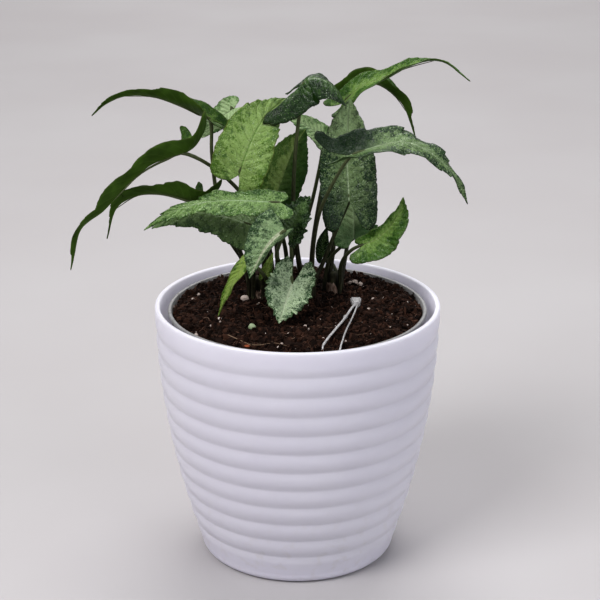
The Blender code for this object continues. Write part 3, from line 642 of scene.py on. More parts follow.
def soilPieces():
    points, faces, topFaces = soilBody()
    body = outwards(meshObject("soil_body", points, faces))
    body.data.materials.append(soilFinish())
    hand(body, "soil", "soil")
    trees = {"grains": scatterTree("strewn grains", 1), "pebbles": scatterTree("rounded grains", 2),
             "fibres": fibreTree()}
    finishes = {}
    for name, values in strewn.items():
        given = [values[key] for key in ("material", "colours", "roughness", "bump")]
        finishes[name] = shadedFinish(*given)
        ground = meshObject(name + " ground", points, faces[:topFaces])
        made = growWith(ground, trees[values["tree"]], {**values, "Finish": finishes[name]}, name)
        keepInside(made)
        hand(made, "soil")
    return finishes["soil_grains"]


def keepInside(made):
    # nothing strewn reaches through the grow pot's wall
    limit = growInside(soil["edge"]) - soil["strewnGap"]
    for vert in made.data.vertices:
        reach = math.hypot(vert.co.x, vert.co.y)
        if reach > limit:
            vert.co.x *= limit / reach
            vert.co.y *= limit / reach


def takenMesh(shape, name):
    # the bmesh as a smooth mesh
    mesh = bpy.data.meshes.new(name)
    shape.to_mesh(mesh)
    shape.free()
    mesh.shade_smooth()
    return mesh


def roughBall(name, x, y, radius, seed, flatness=0.8, rough=0.65):
    # a dented ball that lies on the soil
    shape = bmesh.new()
    bmesh.ops.create_icosphere(shape, subdivisions=3, radius=1)
    for vert in shape.verts:
        dent = 0.85 + 0.5 * rough * noise.noise(vert.co * 1.4 + Vector((seed, 0, 0)))
        dent += 0.18 * rough * noise.noise(vert.co * 4.0 + Vector((0, seed, 0)))
        vert.co = Vector((vert.co.x, vert.co.y * 0.9, vert.co.z * flatness)) * dent * radius
        vert.co += Vector((x, y, soilSurface(x, y) + 0.8 * radius))
    return takenMesh(shape, name)


def joined(name, meshes):
    shape = bmesh.new()
    for mesh in meshes:
        shape.from_mesh(mesh)
    whole = bpy.data.meshes.new(name)
    shape.to_mesh(whole)
    shape.free()
    made = bpy.data.objects.new(name, whole)
    bpy.context.scene.collection.objects.link(made)
    return made


grainPaint = soilPieces()
bigGrains = joined("placed_grains", [
    roughBall("grain", x * mm, y * mm, r * mm, 3.7 * k) for k, (x, y, r) in enumerate(placedGrains)])
bigGrains.data.materials.append(grainPaint)
hand(bigGrains, "soil")
print("soil laid")


# Stems: where each stands and how far it rises above the soil's edge, in mm.
stems = {
    "left": ((-20, 13), 13),
    "back": ((-9, 23), 15),
    "middle": ((4, 13), 17),
    "right": ((18, 20), 13),
    "front": ((-7, -1), 10),
}
stalk = {
    "stemRadius": 2.4 * mm, "stemDepth": 12 * mm, "circle": 4.1 * mm, "depth": 8 * mm, "top": 134 * mm,
    "foot": 1.35 * mm, "neck": 0.85 * mm, "end": 0.16 * mm, "sink": 0.62 * mm, "sides": 10, "rings": 46,
    "ribShare": 0.72, "flatness": 0.88,
    "sheath": (0.16, 0.14, 0.135), "collar": (0.97, 0.03, 0.12),  # where, how wide and how much it swells
    "upper": (0.075, 0.095, 0.040), "lower": (0.020, 0.018, 0.011), "streak": (0.16, 0.17, 0.09),
}
blade = {
    "thickness": 0.5 * mm, "edge": 0.22 * mm, "crease": 1.4 * mm, "steps": 120, "rows": 12, "ribSteps": 96,
    "outlineSteps": 240, "foldSteps": 8, "veinSweep": 1.7, "veinCurve": 1.3, "ripplePhases": (0.6, 2.9),
    "nickScales": (26, 70), "frillScale": 15, "rumpleScales": (0.11, 0.16),
}
# Half a blade from the sinus to the tip: shares of its half width, of its lobe behind the stalk and of
# its length ahead of the stalk.
halfOutline = (
    (0.26, 0.90, 0.00), (0.50, 1.00, 0.00), (0.77, 0.76, 0.00), (0.94, 0.24, 0.00), (1.00, 0.00, 0.14),
    (0.89, 0.00, 0.36), (0.58, 0.00, 0.64), (0.22, 0.00, 0.88), (0.00, 0.00, 1.00),
)
# What a leaf has unless its own line changes it; a pair holds its left and its right half.
usualLeaf = {
    "folds": (10, 10), "lobeBend": 0, "splay": 0, "taper": 1.0,  # degrees, and how soon it narrows
    "wave": 0.8, "frill": 0.5, "puff": 0.12, "rumple": 0.6,  # how high each unevenness rises, in mm
    "waves": 2.5, "nick": 0.045,  # waves along the edge, and how deep its nicks are as a share
    "look": "green", "dim": 0, "shade": 0, "tip": 0,  # lobes and halves darkened as painted shade, and a tip lightened as painted light
}


def leaf(stem, foot, via, rib, half, lobe, face, **changes):
    values = {**usualLeaf, "stem": stem, "foot": foot, "via": via, "rib": rib, "half": half, "lobe": lobe,
              "face": face, **changes}
    values.setdefault("baseFolds", values["folds"])
    for name in ("half", "lobe", "lobeBend", "splay", "dim", "shade"):
        if not isinstance(values[name], tuple):
            values[name] = (values[name], values[name])
    return values


# Each leaf in mm and degrees: its stem, the side of the stem its foot is on, the points its stalk passes,
# its midrib from the stalk to the tip, half width, lobe length and the way its upper side faces.
leafPlaces = {
    "leaf_01": leaf(
        "left", 115, ((-27, 16, 146), (-36, 15, 162), (-40, 18, 181), (-42, 21, 200)),
        ((-42, 22, 216), (-55, 17, 224), (-71, 13, 230), (-84, 9, 230.5), (-92, 7, 227), (-98, 5, 222)),
        7.5, 13, ((-0.1, -0.45, 0.9), (0, 0.35, 0.95), (0, 0.45, 0.9), (0, 0.45, 0.9)),
        folds=(56, 56), baseFolds=(28, 28), lobeBend=20, look="reed"),
    "leaf_02": leaf(
        "left", 15, ((-17, 13, 150), (-19, 12, 165), (-25, 8, 180), (-38, 1, 196)),
        ((-53, -6, 207), (-69, -14, 203), (-82, -18, 192), (-91, -22, 183), (-102, -24, 174),
         (-107, -26, 155)),
        9.0, (23, 20), ((-0.2, 0.4, 0.85), (-0.4, 0.4, 0.8), (-0.7, 0.25, 0.6)),
        folds=(52, 52), baseFolds=(40, 40), lobeBend=(-75, -105), splay=(8, 20), taper=1.2,
        wave=1.4, waves=3.5, look="reed", frill=0.7),
    "leaf_03": leaf(
        "left", 175, ((-26, 13, 144), (-31, 12, 159), (-37, 9, 171), (-44, 4, 179)),
        ((-51, 0, 181.5), (-63, -4, 186), (-75, -8, 187), (-86, -10, 181), (-91, -12, 166)),
        8.0, (19, 17), ((-0.1, 0.4, 0.9), (-0.3, 0.4, 0.85), (-0.8, 0.2, 0.5)),
        folds=(50, 50), baseFolds=(38, 38), lobeBend=(-80, -115), splay=(10, 18), taper=1.1,
        wave=1.3, waves=3.0, look="reed", frill=0.7),
    "leaf_04": leaf(
        "left", -50, ((-16, 3, 150), (-14, -4, 166), (-13, -10, 178)),
        ((-8, -16.5, 185.5), (-34, -20.5, 187.5), (-50, -21.5, 185.5), (-63, -23.5, 180.5),
         (-72, -25.5, 174.5)),
        (9, 6), (6, 4), ((0.1, -0.6, 0.75), (0, -0.55, 0.8), (0, -0.75, 0.66)),
        folds=(-18, 14), baseFolds=(-20, 16), splay=(14, 10), taper=1.15, wave=1.6, waves=3.5,
        look="speckled", frill=1.1, nick=0.08, rumple=0.9),
    "leaf_05": leaf(
        "left", -115, ((-22, 5, 150), (-22, 1, 160)),
        ((-22, -4, 170.5), (-35, -8, 176), (-47, -12, 179), (-59, -16, 178), (-69, -18, 173)),
        13, 9, ((0, -0.4, 1), (0, -0.3, 1)),
        folds=(-62, -10), baseFolds=(-50, -10), taper=1.2, look="grey", frill=1.0, nick=0.06, rumple=1.0),
    "leaf_06": leaf(
        "back", -130, ((-15, 17, 151), (-18, 9, 172), (-23, -2, 188)),
        ((-27.5, -9, 197), (-25, -9, 205), (-20, -4, 216), (-14.5, 3, 223), (-9, 8, 227),
         (-5, 11, 229)),
        (15, 12.5), (5, 15), ((-0.1, -0.95, 0.3), (0, -0.9, 0.4)),
        folds=(8, 8), lobeBend=(20, 25), taper=0.72, wave=1.2, waves=3.0, look="bright", frill=0.9,
        rumple=1.2),
    "leaf_07": leaf(
        "middle", 110, ((0, 16, 150), (-2, 9, 178), (-1, 4, 205), (1, 1, 225)),
        ((2, -1, 238.5), (6, -2, 241.5), (12, -3, 241), (18, -4, 236.5), (22.5, -5, 229)),
        (8, 13), (11, 23), ((-0.1, -0.3, 0.95), (0.4, -0.1, 0.9)),
        folds=(-15, -72), baseFolds=(-20, -58), lobeBend=(0, -24), splay=(5, 6), wave=1.0, waves=2.0,
        look="night", frill=1.0, rumple=1.2),
    "leaf_08": leaf(
        "middle", 50, ((8, 18, 157), (13, 20, 187), (19, 20, 210)),
        ((22, 19, 225), (31, 16, 234), (43, 14, 239), (57, 12, 246), (69, 10, 247), (82, 8, 238)),
        6.0, 9, ((-0.2, -0.75, 0.6), (0, -0.2, 0.95), (0.1, 0.2, 0.95)),
        folds=(50, 45), baseFolds=(15, 15), lobeBend=-75, splay=10, taper=1.2, waves=3.5),
    "leaf_09": leaf(
        "right", 120, ((18, 26, 150), (20, 30, 180), (23, 31, 208)),
        ((26, 30, 230), (35, 28, 234), (44, 26, 230), (52, 24, 222), (58, 23, 206)),
        7.5, 9, ((0.1, 0.25, 0.95), (0.8, 0.15, 0.6)),
        folds=(55, 55), look="reed"),
    "leaf_10": leaf(
        "middle", -50, ((7, 6, 145), (8, 2, 161), (11, -4, 178), (18, -12, 196)),
        ((25, -18, 209), (37, -18, 213), (50, -18, 215), (63, -18, 209), (74, -18, 198), (80, -18, 185)),
        (10, 8), (23, 13), ((-0.1, -0.5, 0.85), (0.1, -0.5, 0.85), (0.6, -0.6, 0.5)),
        folds=(-12, 0), baseFolds=(52, 45), lobeBend=(-85, -8), splay=(8, 6), taper=1.1, wave=1.8,
        waves=4.5, look="silver", frill=1.1, nick=0.07, rumple=1.0, dim=(0.9, 0.1)),
    "leaf_11": leaf(
        "middle", 0, ((13, 15, 146), (19, 14, 162), (24, 11, 175)),
        ((25, 6, 180), (24, 8, 200), (24, 9, 217), (25, 8, 230)),
        14, 15, ((0, -0.98, 0.15), (0, -0.98, 0.15)),
        folds=(12, 12), lobeBend=8, splay=9, taper=0.64, wave=1.2, waves=3.5, look="silver", frill=0.6,
        nick=0.04, rumple=1.0, dim=(0.5, 0.35), tip=0.8),
    "leaf_12": leaf(
        "right", 180, ((16, 20, 145), (22, 20, 152)),
        ((28, 18, 157), (28, 20, 168), (27, 23, 182), (26, 25, 194)),
        11, 5, ((0, -0.98, 0.15), (0, -0.98, 0.15)),
        folds=(10, 10), look="pale", dim=(0.6, 0.8), frill=1.6, nick=0.12, rumple=1.8),
    "leaf_13": leaf(
        "right", -40, ((22, 13, 146), (27, 9, 154)),
        ((33.5, 6, 158), (38.5, 5, 160.5), (44.5, 4, 166.5), (49, 2, 174.5), (51, 1, 183)),
        (5, 11), (5, 10), ((-0.3, -0.75, 0.5), (-0.3, -0.75, 0.5)),
        folds=(62, 10), baseFolds=(50, 12), taper=0.78, wave=1.2, waves=3.0, frill=0.8, rumple=0.9),
    "leaf_14": leaf(
        "back", 50, ((-2, 28, 146), (6, 29, 168), (11, 31, 190)),
        ((13, 32, 203), (7, 31, 209), (1, 30, 213), (-7, 30, 217)),
        7, 7, ((0.3, -0.7, 0.7), (0.1, -0.7, 0.7)),
        folds=(20, 20), look="pale"),
    "leaf_15": leaf(
        "back", 0, ((-6, 21, 150), (-10, 17, 170)),
        ((-10, 14, 182), (-6, 14, 193), (-2, 15, 203), (4, 16, 213)),
        11, 8, ((0.1, -0.95, 0.2), (0.1, -0.95, 0.2)),
        folds=(10, 10), taper=0.65, look="lit", rumple=1.2, shade=(0, 0.75)),
    "leaf_16": leaf(
        "front", 35, ((-3, -1, 148), (-3, -4, 158)),
        ((-4, -7, 168), (-1, -6, 174), (2, -5, 180), (6, -4, 185)),
        9.5, 6, ((-0.3, -0.9, 0.4), (-0.2, -0.9, 0.4)),
        folds=(25, 25), wave=1.5, waves=3.5, look="dark", frill=1.8, nick=0.14, rumple=2.2),
    "leaf_17": leaf(
        "front", 90, ((-8, 0, 148), (-10, -10, 158)),
        ((-6, -26.5, 174.5), (-10.5, -28.5, 171.5), (-15, -30, 166.5), (-19, -31.5, 160),
         (-22.5, -32.5, 153)),
        (3.5, 13), (4, 1.5), ((-0.2, -0.95, 0.3), (-0.2, -0.95, 0.3)),
        folds=(-95, 5), baseFolds=(-70, 8), splay=(0, 12), taper=0.9, look="mint", frill=0.8, rumple=0.8),
    "leaf_18": leaf(
        "front", 210, ((-14, -8, 143), (-20, -14, 153)),
        ((-25, -15, 155), (-30, -18, 148), (-34, -20, 141), (-38, -21, 130)),
        3.5, 4, ((-0.5, -0.8, 0.3), (-0.8, -0.6, 0.2)),
        folds=(30, 30), look="young"),
    "leaf_19": leaf(
        "front", -35, ((-3, -6, 142), (-3, -9, 146)),
        ((-2.6, -13, 143.5), (-5.5, -23, 138), (-8.8, -35, 131.5)),
        (11, 12), (14, 13), ((0, -0.85, 0.5), (0, -0.75, 0.65)),
        folds=(10, 15), lobeBend=-38, taper=0.9, wave=1.2, waves=3.5, look="frost", frill=1.2, nick=0.12,
        rumple=1.4, shade=(0, 0.2)),
    "leaf_20": leaf(
        "front", 150, ((-13, 1, 139),),
        ((-16, -2, 144), (-14, -3, 150), (-12, -2, 156)),
        3, 3, ((0, -0.98, 0.1), (0, -0.98, 0.1)),
        folds=(25, 25), wave=0.3, look="young"),
    "leaf_21": leaf(
        "right", 60, ((18, 30, 139),),
        ((13, 33, 143), (13, 34, 150), (15, 34, 158)),
        4, 4, ((0, -0.98, 0.1), (0, -0.98, 0.1)),
        folds=(25, 25), wave=0.3, look="dark"),
    "leaf_22": leaf(
        "back", 150, ((-16, 29, 160), (-24, 34, 188)),
        ((-31.5, 37, 218), (-37.5, 36, 214), (-42.5, 35, 209), (-47.5, 34, 204)),
        7, 5, ((0, -0.8, 0.6), (-0.1, -0.75, 0.65)),
        folds=(15, 15), look="pale"),
    "leaf_23": leaf(
        "back", 100, ((-11, 33, 155), (-12, 38, 175)),
        ((-12, 42, 188), (-14, 52, 193), (-15, 64, 190), (-16, 74, 178)),
        12, 13, ((0, 0.2, 0.95), (0, 0.7, 0.7)),
        folds=(20, 20), lobeBend=-10),
    "leaf_24": leaf(
        "right", 10, ((25, 28, 150), (27, 36, 168)),
        ((28, 41, 180), (30, 52, 185), (32, 63, 182), (34, 72, 171)),
        11, 12, ((0, 0.2, 0.95), (0.1, 0.7, 0.7)),
        folds=(20, 20), lobeBend=-10),
}

# What a leaf's two sides look like: deep and pale green, veins, the under side, how far the pale middle
# reaches, how speckled it is, its side veins, its midrib, the edge, and how rough and how shiny it is.
leafLooks = {
    "green": dict(deep=(0.050, 0.125, 0.016), pale=(0.185, 0.31, 0.075), vein=(0.25, 0.37, 0.11),
                  under=(0.055, 0.115, 0.016), reach=0.35, speckle=0.8, veins=17, veinStrength=0.40,
                  midrib=(0.27, 0.36, 0.14), margin=(0.05, 0.06, 0.02), gloss=0.27, sheen=0.45),
    "reed": dict(deep=(0.032, 0.082, 0.009), pale=(0.11, 0.2, 0.038), vein=(0.16, 0.25, 0.06),
                 under=(0.048, 0.098, 0.012), reach=0.30, speckle=0.4, veins=18, veinStrength=0.30,
                 midrib=(0.19, 0.16, 0.07), margin=(0.05, 0.045, 0.015), gloss=0.36, sheen=0.20),
    "speckled": dict(deep=(0.036, 0.1, 0.012), pale=(0.195, 0.31, 0.105), vein=(0.28, 0.4, 0.18),
                     under=(0.075, 0.145, 0.028), reach=0.70, speckle=1.7, veins=18, veinStrength=0.35,
                     midrib=(0.42, 0.56, 0.34), margin=(0.07, 0.10, 0.03), gloss=0.26, sheen=0.45),
    "grey": dict(deep=(0.03, 0.072, 0.016), pale=(0.13, 0.205, 0.075), vein=(0.17, 0.25, 0.11),
                 under=(0.055, 0.1, 0.028), reach=0.8, speckle=0.9, veins=15, veinStrength=0.5,
                 midrib=(0.22, 0.30, 0.15), margin=(0.04, 0.06, 0.02), gloss=0.30, sheen=0.35),
    "bright": dict(deep=(0.065, 0.14, 0.012), pale=(0.215, 0.325, 0.095), vein=(0.29, 0.4, 0.15),
                   under=(0.11, 0.2, 0.032), reach=0.72, speckle=1.2, veins=13, veinStrength=0.6,
                   midrib=(0.10, 0.20, 0.03), margin=(0.12, 0.15, 0.03), gloss=0.32, sheen=0.30),
    # painted shade: a dark green for the leaves deep in the clump
    "dark": dict(deep=(0.01, 0.038, 0.006), pale=(0.105, 0.185, 0.06), vein=(0.11, 0.19, 0.065),
                 under=(0.014, 0.04, 0.005), reach=0.30, speckle=0.9, veins=15, veinStrength=0.25,
                 midrib=(0.11, 0.19, 0.07), margin=(0.02, 0.03, 0.01), gloss=0.24, sheen=0.45),
    "silver": dict(deep=(0.006, 0.034, 0.008), pale=(0.16, 0.245, 0.1), vein=(0.24, 0.33, 0.17),
                   under=(0.05, 0.095, 0.028), reach=0.50, speckle=1.6, veins=16, veinStrength=0.35,
                   midrib=(0.32, 0.41, 0.25), margin=(0.02, 0.032, 0.014), gloss=0.24, sheen=0.45),
    "mint": dict(deep=(0.016, 0.055, 0.014), pale=(0.23, 0.34, 0.165), vein=(0.33, 0.43, 0.25),
                 under=(0.12, 0.19, 0.075), reach=0.62, speckle=1.4, veins=14, veinStrength=0.5,
                 midrib=(0.56, 0.60, 0.42), margin=(0.03, 0.06, 0.03), gloss=0.30, sheen=0.35, ribWidth=0.13),
    # painted shade: a darker copy of the green for leaf_07, which lies in shade
    "night": dict(deep=(0.007, 0.030, 0.004), pale=(0.036, 0.092, 0.014), vein=(0.07, 0.14, 0.04),
                  under=(0.010, 0.034, 0.003), reach=0.25, speckle=1.0, veins=15, veinStrength=0.25,
                  midrib=(0.10, 0.17, 0.05), margin=(0.02, 0.03, 0.01), gloss=0.22, sheen=0.50),
    "lit": dict(deep=(0.090, 0.190, 0.030), pale=(0.340, 0.480, 0.150), vein=(0.40, 0.54, 0.20),
                under=(0.120, 0.210, 0.050), reach=0.5, speckle=0.6, veins=14, veinStrength=0.4,
                midrib=(0.30, 0.42, 0.14), margin=(0.06, 0.09, 0.03), gloss=0.34, sheen=0.30),
    "frost": dict(deep=(0.016, 0.062, 0.014), pale=(0.410, 0.520, 0.330), vein=(0.52, 0.62, 0.44),
                  under=(0.170, 0.250, 0.120), reach=0.75, speckle=1.8, veins=10, veinStrength=0.8,
                  midrib=(0.50, 0.58, 0.40), margin=(0.05, 0.09, 0.03), gloss=0.28, sheen=0.40,
                  ribWidth=0.06),
    "pale": dict(deep=(0.11, 0.21, 0.065), pale=(0.37, 0.5, 0.26), vein=(0.42, 0.55, 0.3),
                 under=(0.24, 0.33, 0.17), reach=0.80, speckle=0.8, veins=14, veinStrength=0.20,
                 midrib=(0.33, 0.44, 0.25), margin=(0.06, 0.09, 0.04), gloss=0.36, sheen=0.25),
    "young": dict(deep=(0.085, 0.165, 0.016), pale=(0.25, 0.36, 0.08), vein=(0.31, 0.42, 0.13),
                  under=(0.13, 0.22, 0.042), reach=0.75, speckle=0.5, veins=12, veinStrength=0.4,
                  midrib=(0.38, 0.46, 0.18), margin=(0.16, 0.10, 0.05), gloss=0.34, sheen=0.30),
}


# The pattern on every blade: noises and cells for each metre, and what most leaves share.
leafPattern = {
    "cloud": 90.0, "blotch": 330.0, "fine": 1250.0, "grain": 2100.0, "net": 420.0, "patch": 230.0,
    "specksAndGlints": 900.0, "underCloud": 120.0, "underFine": 1100.0, "ribWidth": 0.035,
    "speckAndGlintColour": (0.50, 0.62, 0.40), "shadeTint": (0.35, 0.55, 0.5),
}


def smoothLine(points, count):
    # even steps along a smooth curve through the points, and its length
    ends = [2 * points[0] - points[1], *points, 2 * points[-1] - points[-2]]
    dense = []
    for a, b, c, d in zip(ends, ends[1:], ends[2:], ends[3:]):
        for step in range(16):
            t = step / 16
            run = (c - a) * t
            bend = (2 * a - 5 * b + 4 * c - d) * t ** 2
            twist = (3 * b - a - 3 * c + d) * t ** 3
            dense.append(b + 0.5 * (run + bend + twist))
    dense.append(points[-1].copy())
    reach = [0.0]
    for a, b in zip(dense, dense[1:]):
        reach.append(reach[-1] + (b - a).length)
    line = []
    near = 0
    for step in range(count + 1):
        wanted = reach[-1] * step / count
        while near < len(dense) - 2 and reach[near + 1] < wanted:
            near += 1
        share = (wanted - reach[near]) / max(reach[near + 1] - reach[near], 1e-12)
        line.append(dense[near].lerp(dense[near + 1], min(max(share, 0), 1)))
    return line, reach[-1]


class LeafBlade:
    # The middle surface of a blade: from shares of its outline to points in space.
    def __init__(self, values, seed):
        self.values = values
        self.seed = seed
        self.half = [half * mm for half in values["half"]]
        self.lobe = [lobe * mm for lobe in values["lobe"]]
        self.line, self.length = smoothLine([Vector(p) * mm for p in values["rib"]], blade["ribSteps"])
        self.outlines = []
        self.shoulders = []
        for half, lobe, splay in zip(self.half, self.lobe, values["splay"]):
            spread = math.tan(math.radians(splay)) * lobe
            flat = [Vector((x * half + back * spread, y ** values["taper"] * self.length - back * lobe, 0))
                    for x, back, y in halfOutline]
            outline, _ = smoothLine(flat, blade["outlineSteps"])
            self.outlines.append(outline)
            self.shoulders.append(max(i for i, p in enumerate(outline) if p.y <= 0) / blade["outlineSteps"])
        self.shoulder = sum(self.shoulders) / 2
        self.veins = leafLooks[values["look"]]["veins"]

    def facing(self, share):
        sides = [Vector(side).normalized() for side in self.values["face"]]
        at = share * (len(sides) - 1)
        low = min(int(at), len(sides) - 2)
        return sides[low].lerp(sides[low + 1], at - low)

    def frame(self, forward, half=1):
        # centre, direction to the tip, upper side and right side at a distance from the stalk
        share = min(max(forward / self.length, 0), 1)
        last = blade["ribSteps"]
        at = share * last
        low = min(int(at), last - 1)
        centre = self.line[low].lerp(self.line[low + 1], at - low)
        ahead = (self.line[min(low + 3, last)] - self.line[max(low - 2, 0)]).normalized()
        up = self.facing(share)
        up = (up - ahead * up.dot(ahead)).normalized()
        if forward < 0:
            back = -forward / max(self.lobe[half], 1e-9)
            bend = math.radians(self.values["lobeBend"][half])
            middle = 0.5 * bend * back
            centre = centre + forward * (ahead * math.cos(middle) + up * math.sin(middle))
            turn = bend * back
            ahead, up = (ahead * math.cos(turn) + up * math.sin(turn),
                         up * math.cos(turn) - ahead * math.sin(turn))
        return centre, ahead, up, ahead.cross(up)

    def margin(self, half, share):
        own = self.shoulders[half]
        if share < self.shoulder:
            at = share * own / self.shoulder
        else:
            at = own + (share - self.shoulder) * (1 - own) / (1 - self.shoulder)
        at *= blade["outlineSteps"]
        low = min(int(at), blade["outlineSteps"] - 1)
        return self.outlines[half][low].lerp(self.outlines[half][low + 1], at - low)

    def vein(self, share, out):
        # counts the side veins along the midrib; each one sweeps towards the tip
        return share * self.veins - blade["veinSweep"] * out ** blade["veinCurve"]

    def random(self, x, y, seed=0):
        return noise.noise(Vector((x, y, self.seed + seed)))

    def point(self, side, share, out):
        values = self.values
        half = 0 if side < 0 else 1
        coarse, fine = blade["nickScales"]
        ragged = self.random(share * coarse, 3.1 * side) + 0.6 * self.random(share * fine, 5.3 * side)
        edge = self.margin(half, share) * (1 + values["nick"] * ragged * (1 - abs(2 * share - 1) ** 6))
        rib = max(0, (share - self.shoulder) / (1 - self.shoulder)) ** 1.1 * self.length
        across = edge.x * out
        forward = rib + (edge.y - rib) * out
        centre, _, up, right = self.frame(forward, half)
        # the half bends up or down from the midrib by its fold, and less so right at the crease
        nearTip = min(1, min(max(forward / self.length, 0), 1) / 0.4)
        fold = values["folds"][half] * nearTip + values["baseFolds"][half] * (1 - nearTip)
        sideways = 0
        lift = 0
        for step in range(blade["foldSteps"]):
            reach = across * (step + 0.5) / blade["foldSteps"]
            crease = (1 - math.exp(-reach / blade["crease"])) * (0.8 + 0.4 * reach / self.half[half])
            turn = math.radians(fold) * crease
            sideways += math.cos(turn) * across / blade["foldSteps"]
            lift += math.sin(turn) * across / blade["foldSteps"]
        # then waves along the edge, swellings between the veins and a rumple all over
        wave = math.sin(2 * math.pi * values["waves"] * share + blade["ripplePhases"][half])
        ripple = values["wave"] * mm * wave * out * out * math.sin(math.pi * share)
        frill = self.random(share * blade["frillScale"], 1.7 * side, 9) * values["frill"] * mm * out ** 3
        bulge = math.sin(math.pi * self.vein(share, out)) ** 2 * 4 * out * (1 - out)
        along, sidelong = blade["rumpleScales"]
        swell = self.random(forward / mm * along, side * across / mm * sidelong, 4)
        lift += ripple + frill * min(1, 6 * (1 - share)) + values["puff"] * mm * bulge
        lift += values["rumple"] * mm * swell * min(1, 3 * out) * min(1, 5 * (1 - share))
        return centre + right * (side * sideways) + up * lift


class Shell:
    # Points and faces of one piece, with a material number and a UV for each face corner.
    def __init__(self):
        self.points = []
        self.faces = []
        self.paints = []
        self.corners = []

    def add(self, corners, paint, places):
        # a face; corners that fall on one point are dropped
        kept = []
        for corner, place in zip(corners, places):
            if corner not in [c for c, _ in kept]:
                kept.append((corner, place))
        if len(kept) > 2:
            self.faces.append([c for c, _ in kept])
            self.paints.append(paint)
            self.corners += [p for _, p in kept]

    def build(self, name, finishes):
        made = meshObject(name, self.points, self.faces)
        made.data.polygons.foreach_set("material_index", self.paints)
        layer = made.data.uv_layers.new(name="blade")
        layer.data.foreach_set("uv", [n for pair in self.corners for n in pair])
        for finish in finishes:
            made.data.materials.append(finish)
        made.data.shade_smooth()
        return made


def addBlade(shell, leafBlade):
    # upper side, under side and the thin rim that joins them
    steps, rows = blade["steps"], blade["rows"]
    number = {}
    middle = []

    def key(side, step, row):
        share = step / steps
        if row == 0 or step == steps:
            at = max(0, (share - leafBlade.shoulder) / (1 - leafBlade.shoulder))
            return ("rib", round(at, 6))
        return (side, step, row)

    for side in (-1, 1):
        for step in range(steps + 1):
            for row in range(rows + 1):
                name = key(side, step, row)
                if name not in number:
                    number[name] = len(middle)
                    out = 0 if name[0] == "rib" else row / rows
                    middle.append(leafBlade.point(side, step / steps, out))
    quads = []
    for side in (-1, 1):
        for step in range(steps):
            for row in range(rows):
                ring = [(step, row), (step, row + 1), (step + 1, row + 1), (step + 1, row)]
                if side < 0:
                    ring.reverse()
                places = [(s / steps, 0.5 + 0.5 * side * r / rows) for s, r in ring]
                quads.append(([number[key(side, s, r)] for s, r in ring], places))
    sheet = Shell()
    sheet.points = middle
    for corners, places in quads:
        sheet.add(corners, 0, places)
    mesh = bpy.data.meshes.new("sheet")
    mesh.from_pydata(middle, [], sheet.faces)
    mesh.update()
    normals = [v.normal.copy() for v in mesh.vertices]
    uses = {}
    for face in mesh.polygons:
        for edge in face.edge_keys:
            uses[edge] = uses.get(edge, 0) + 1
    rim = {edge for edge, count in uses.items() if count == 1}
    edgePoints = {point for edge in rim for point in edge}
    bpy.data.meshes.remove(mesh)
    start = len(shell.points)
    count = len(middle)
    for sign in (1, -1):
        for index, (point, normal) in enumerate(zip(middle, normals)):
            thick = blade["edge"] if index in edgePoints else blade["thickness"]
            shell.points.append(point + normal * (sign * thick / 2))
    for corners, places in quads:
        upper = [start + c for c in corners]
        shell.add(upper, 0, places)
        shell.add([c + count for c in reversed(upper)], 1, list(reversed(places)))
    for face in sheet.faces:
        for a, b in zip(face, face[1:] + face[:1]):
            if (min(a, b), max(a, b)) in rim:
                around = [start + b, start + a, start + count + a, start + count + b]
                shell.add(around, 1, [(0.5, 0.99)] * 4)


def addTube(shell, line, radii, sides, paint, flatness=1.0):
    # a closed round rod along the line
    start = len(shell.points)
    across = None
    for index, (centre, radius) in enumerate(zip(line, radii)):
        ahead = (line[min(index + 1, len(line) - 1)] - line[max(index - 1, 0)]).normalized()
        if across is None:
            across = ahead.orthogonal()
        across = (across - ahead * across.dot(ahead)).normalized()
        other = ahead.cross(across)
        for side in range(sides):
            turn = 2 * math.pi * side / sides
            spoke = across * math.cos(turn) + other * math.sin(turn) * flatness
            shell.points.append(centre + radius * spoke)
    rings = len(line)
    for ring in range(rings - 1):
        for side in range(sides):
            after = (side + 1) % sides
            corners = [(ring, side), (ring, after), (ring + 1, after), (ring + 1, side)]
            turned = [side, side + 1, side + 1, side]
            places = [(r / (rings - 1), s / sides) for (r, _), s in zip(corners, turned)]
            shell.add([start + r * sides + s for r, s in corners], paint, places)
    shell.add([start + side for side in reversed(range(sides))], paint, [(0, 0.5)] * sides)
    last = start + (rings - 1) * sides
    shell.add([last + side for side in range(sides)], paint, [(1, 0.5)] * sides)


def swelling(share, at, width, amount):
    return amount * math.exp(-((share - at) / width) ** 2)


def stalkLine(values, leafBlade):
    # from its foot in the soil past the stalk's points, then on as a rib under the blade
    (x, y), _ = stems[values["stem"]]
    turn = math.radians(values["foot"])
    foot = Vector((x * mm + stalk["circle"] * math.cos(turn), y * mm + stalk["circle"] * math.sin(turn), 0))
    points = [foot + Vector((0, 0, z)) for z in (soil["edge"] - stalk["depth"], soil["edge"], stalk["top"])]
    points += [Vector(p) * mm for p in values["via"]]
    ribShare, rings = stalk["ribShare"], stalk["rings"]
    for share in (0, 0.12, 0.3, 0.5, ribShare):
        centre, _, up, _ = leafBlade.frame(share * leafBlade.length)
        points.append(centre - up * stalk["sink"] * (1 - share / ribShare) ** 0.8)
    line, length = smoothLine(points, rings)
    free = length - ribShare * leafBlade.length
    radii = []
    for ring in range(rings + 1):
        share = length * ring / rings / free
        if share <= 1:
            swell = 1 + swelling(share, *stalk["sheath"]) + swelling(share, *stalk["collar"])
            radii.append((stalk["foot"] + (stalk["neck"] - stalk["foot"]) * share) * swell)
        else:
            fade = (share - 1) * free / (ribShare * leafBlade.length)
            radii.append(stalk["neck"] + (stalk["end"] - stalk["neck"]) * min(1, fade) ** 0.6)
    return line, radii


def bladeSockets(paint):
    # shares along and across the blade, and the distance out from its midrib
    share, across, _ = paint.parts(paint.node("ShaderNodeUVMap", {"uv_map": "blade"}))
    return share, across, abs(across * 2 - 1)


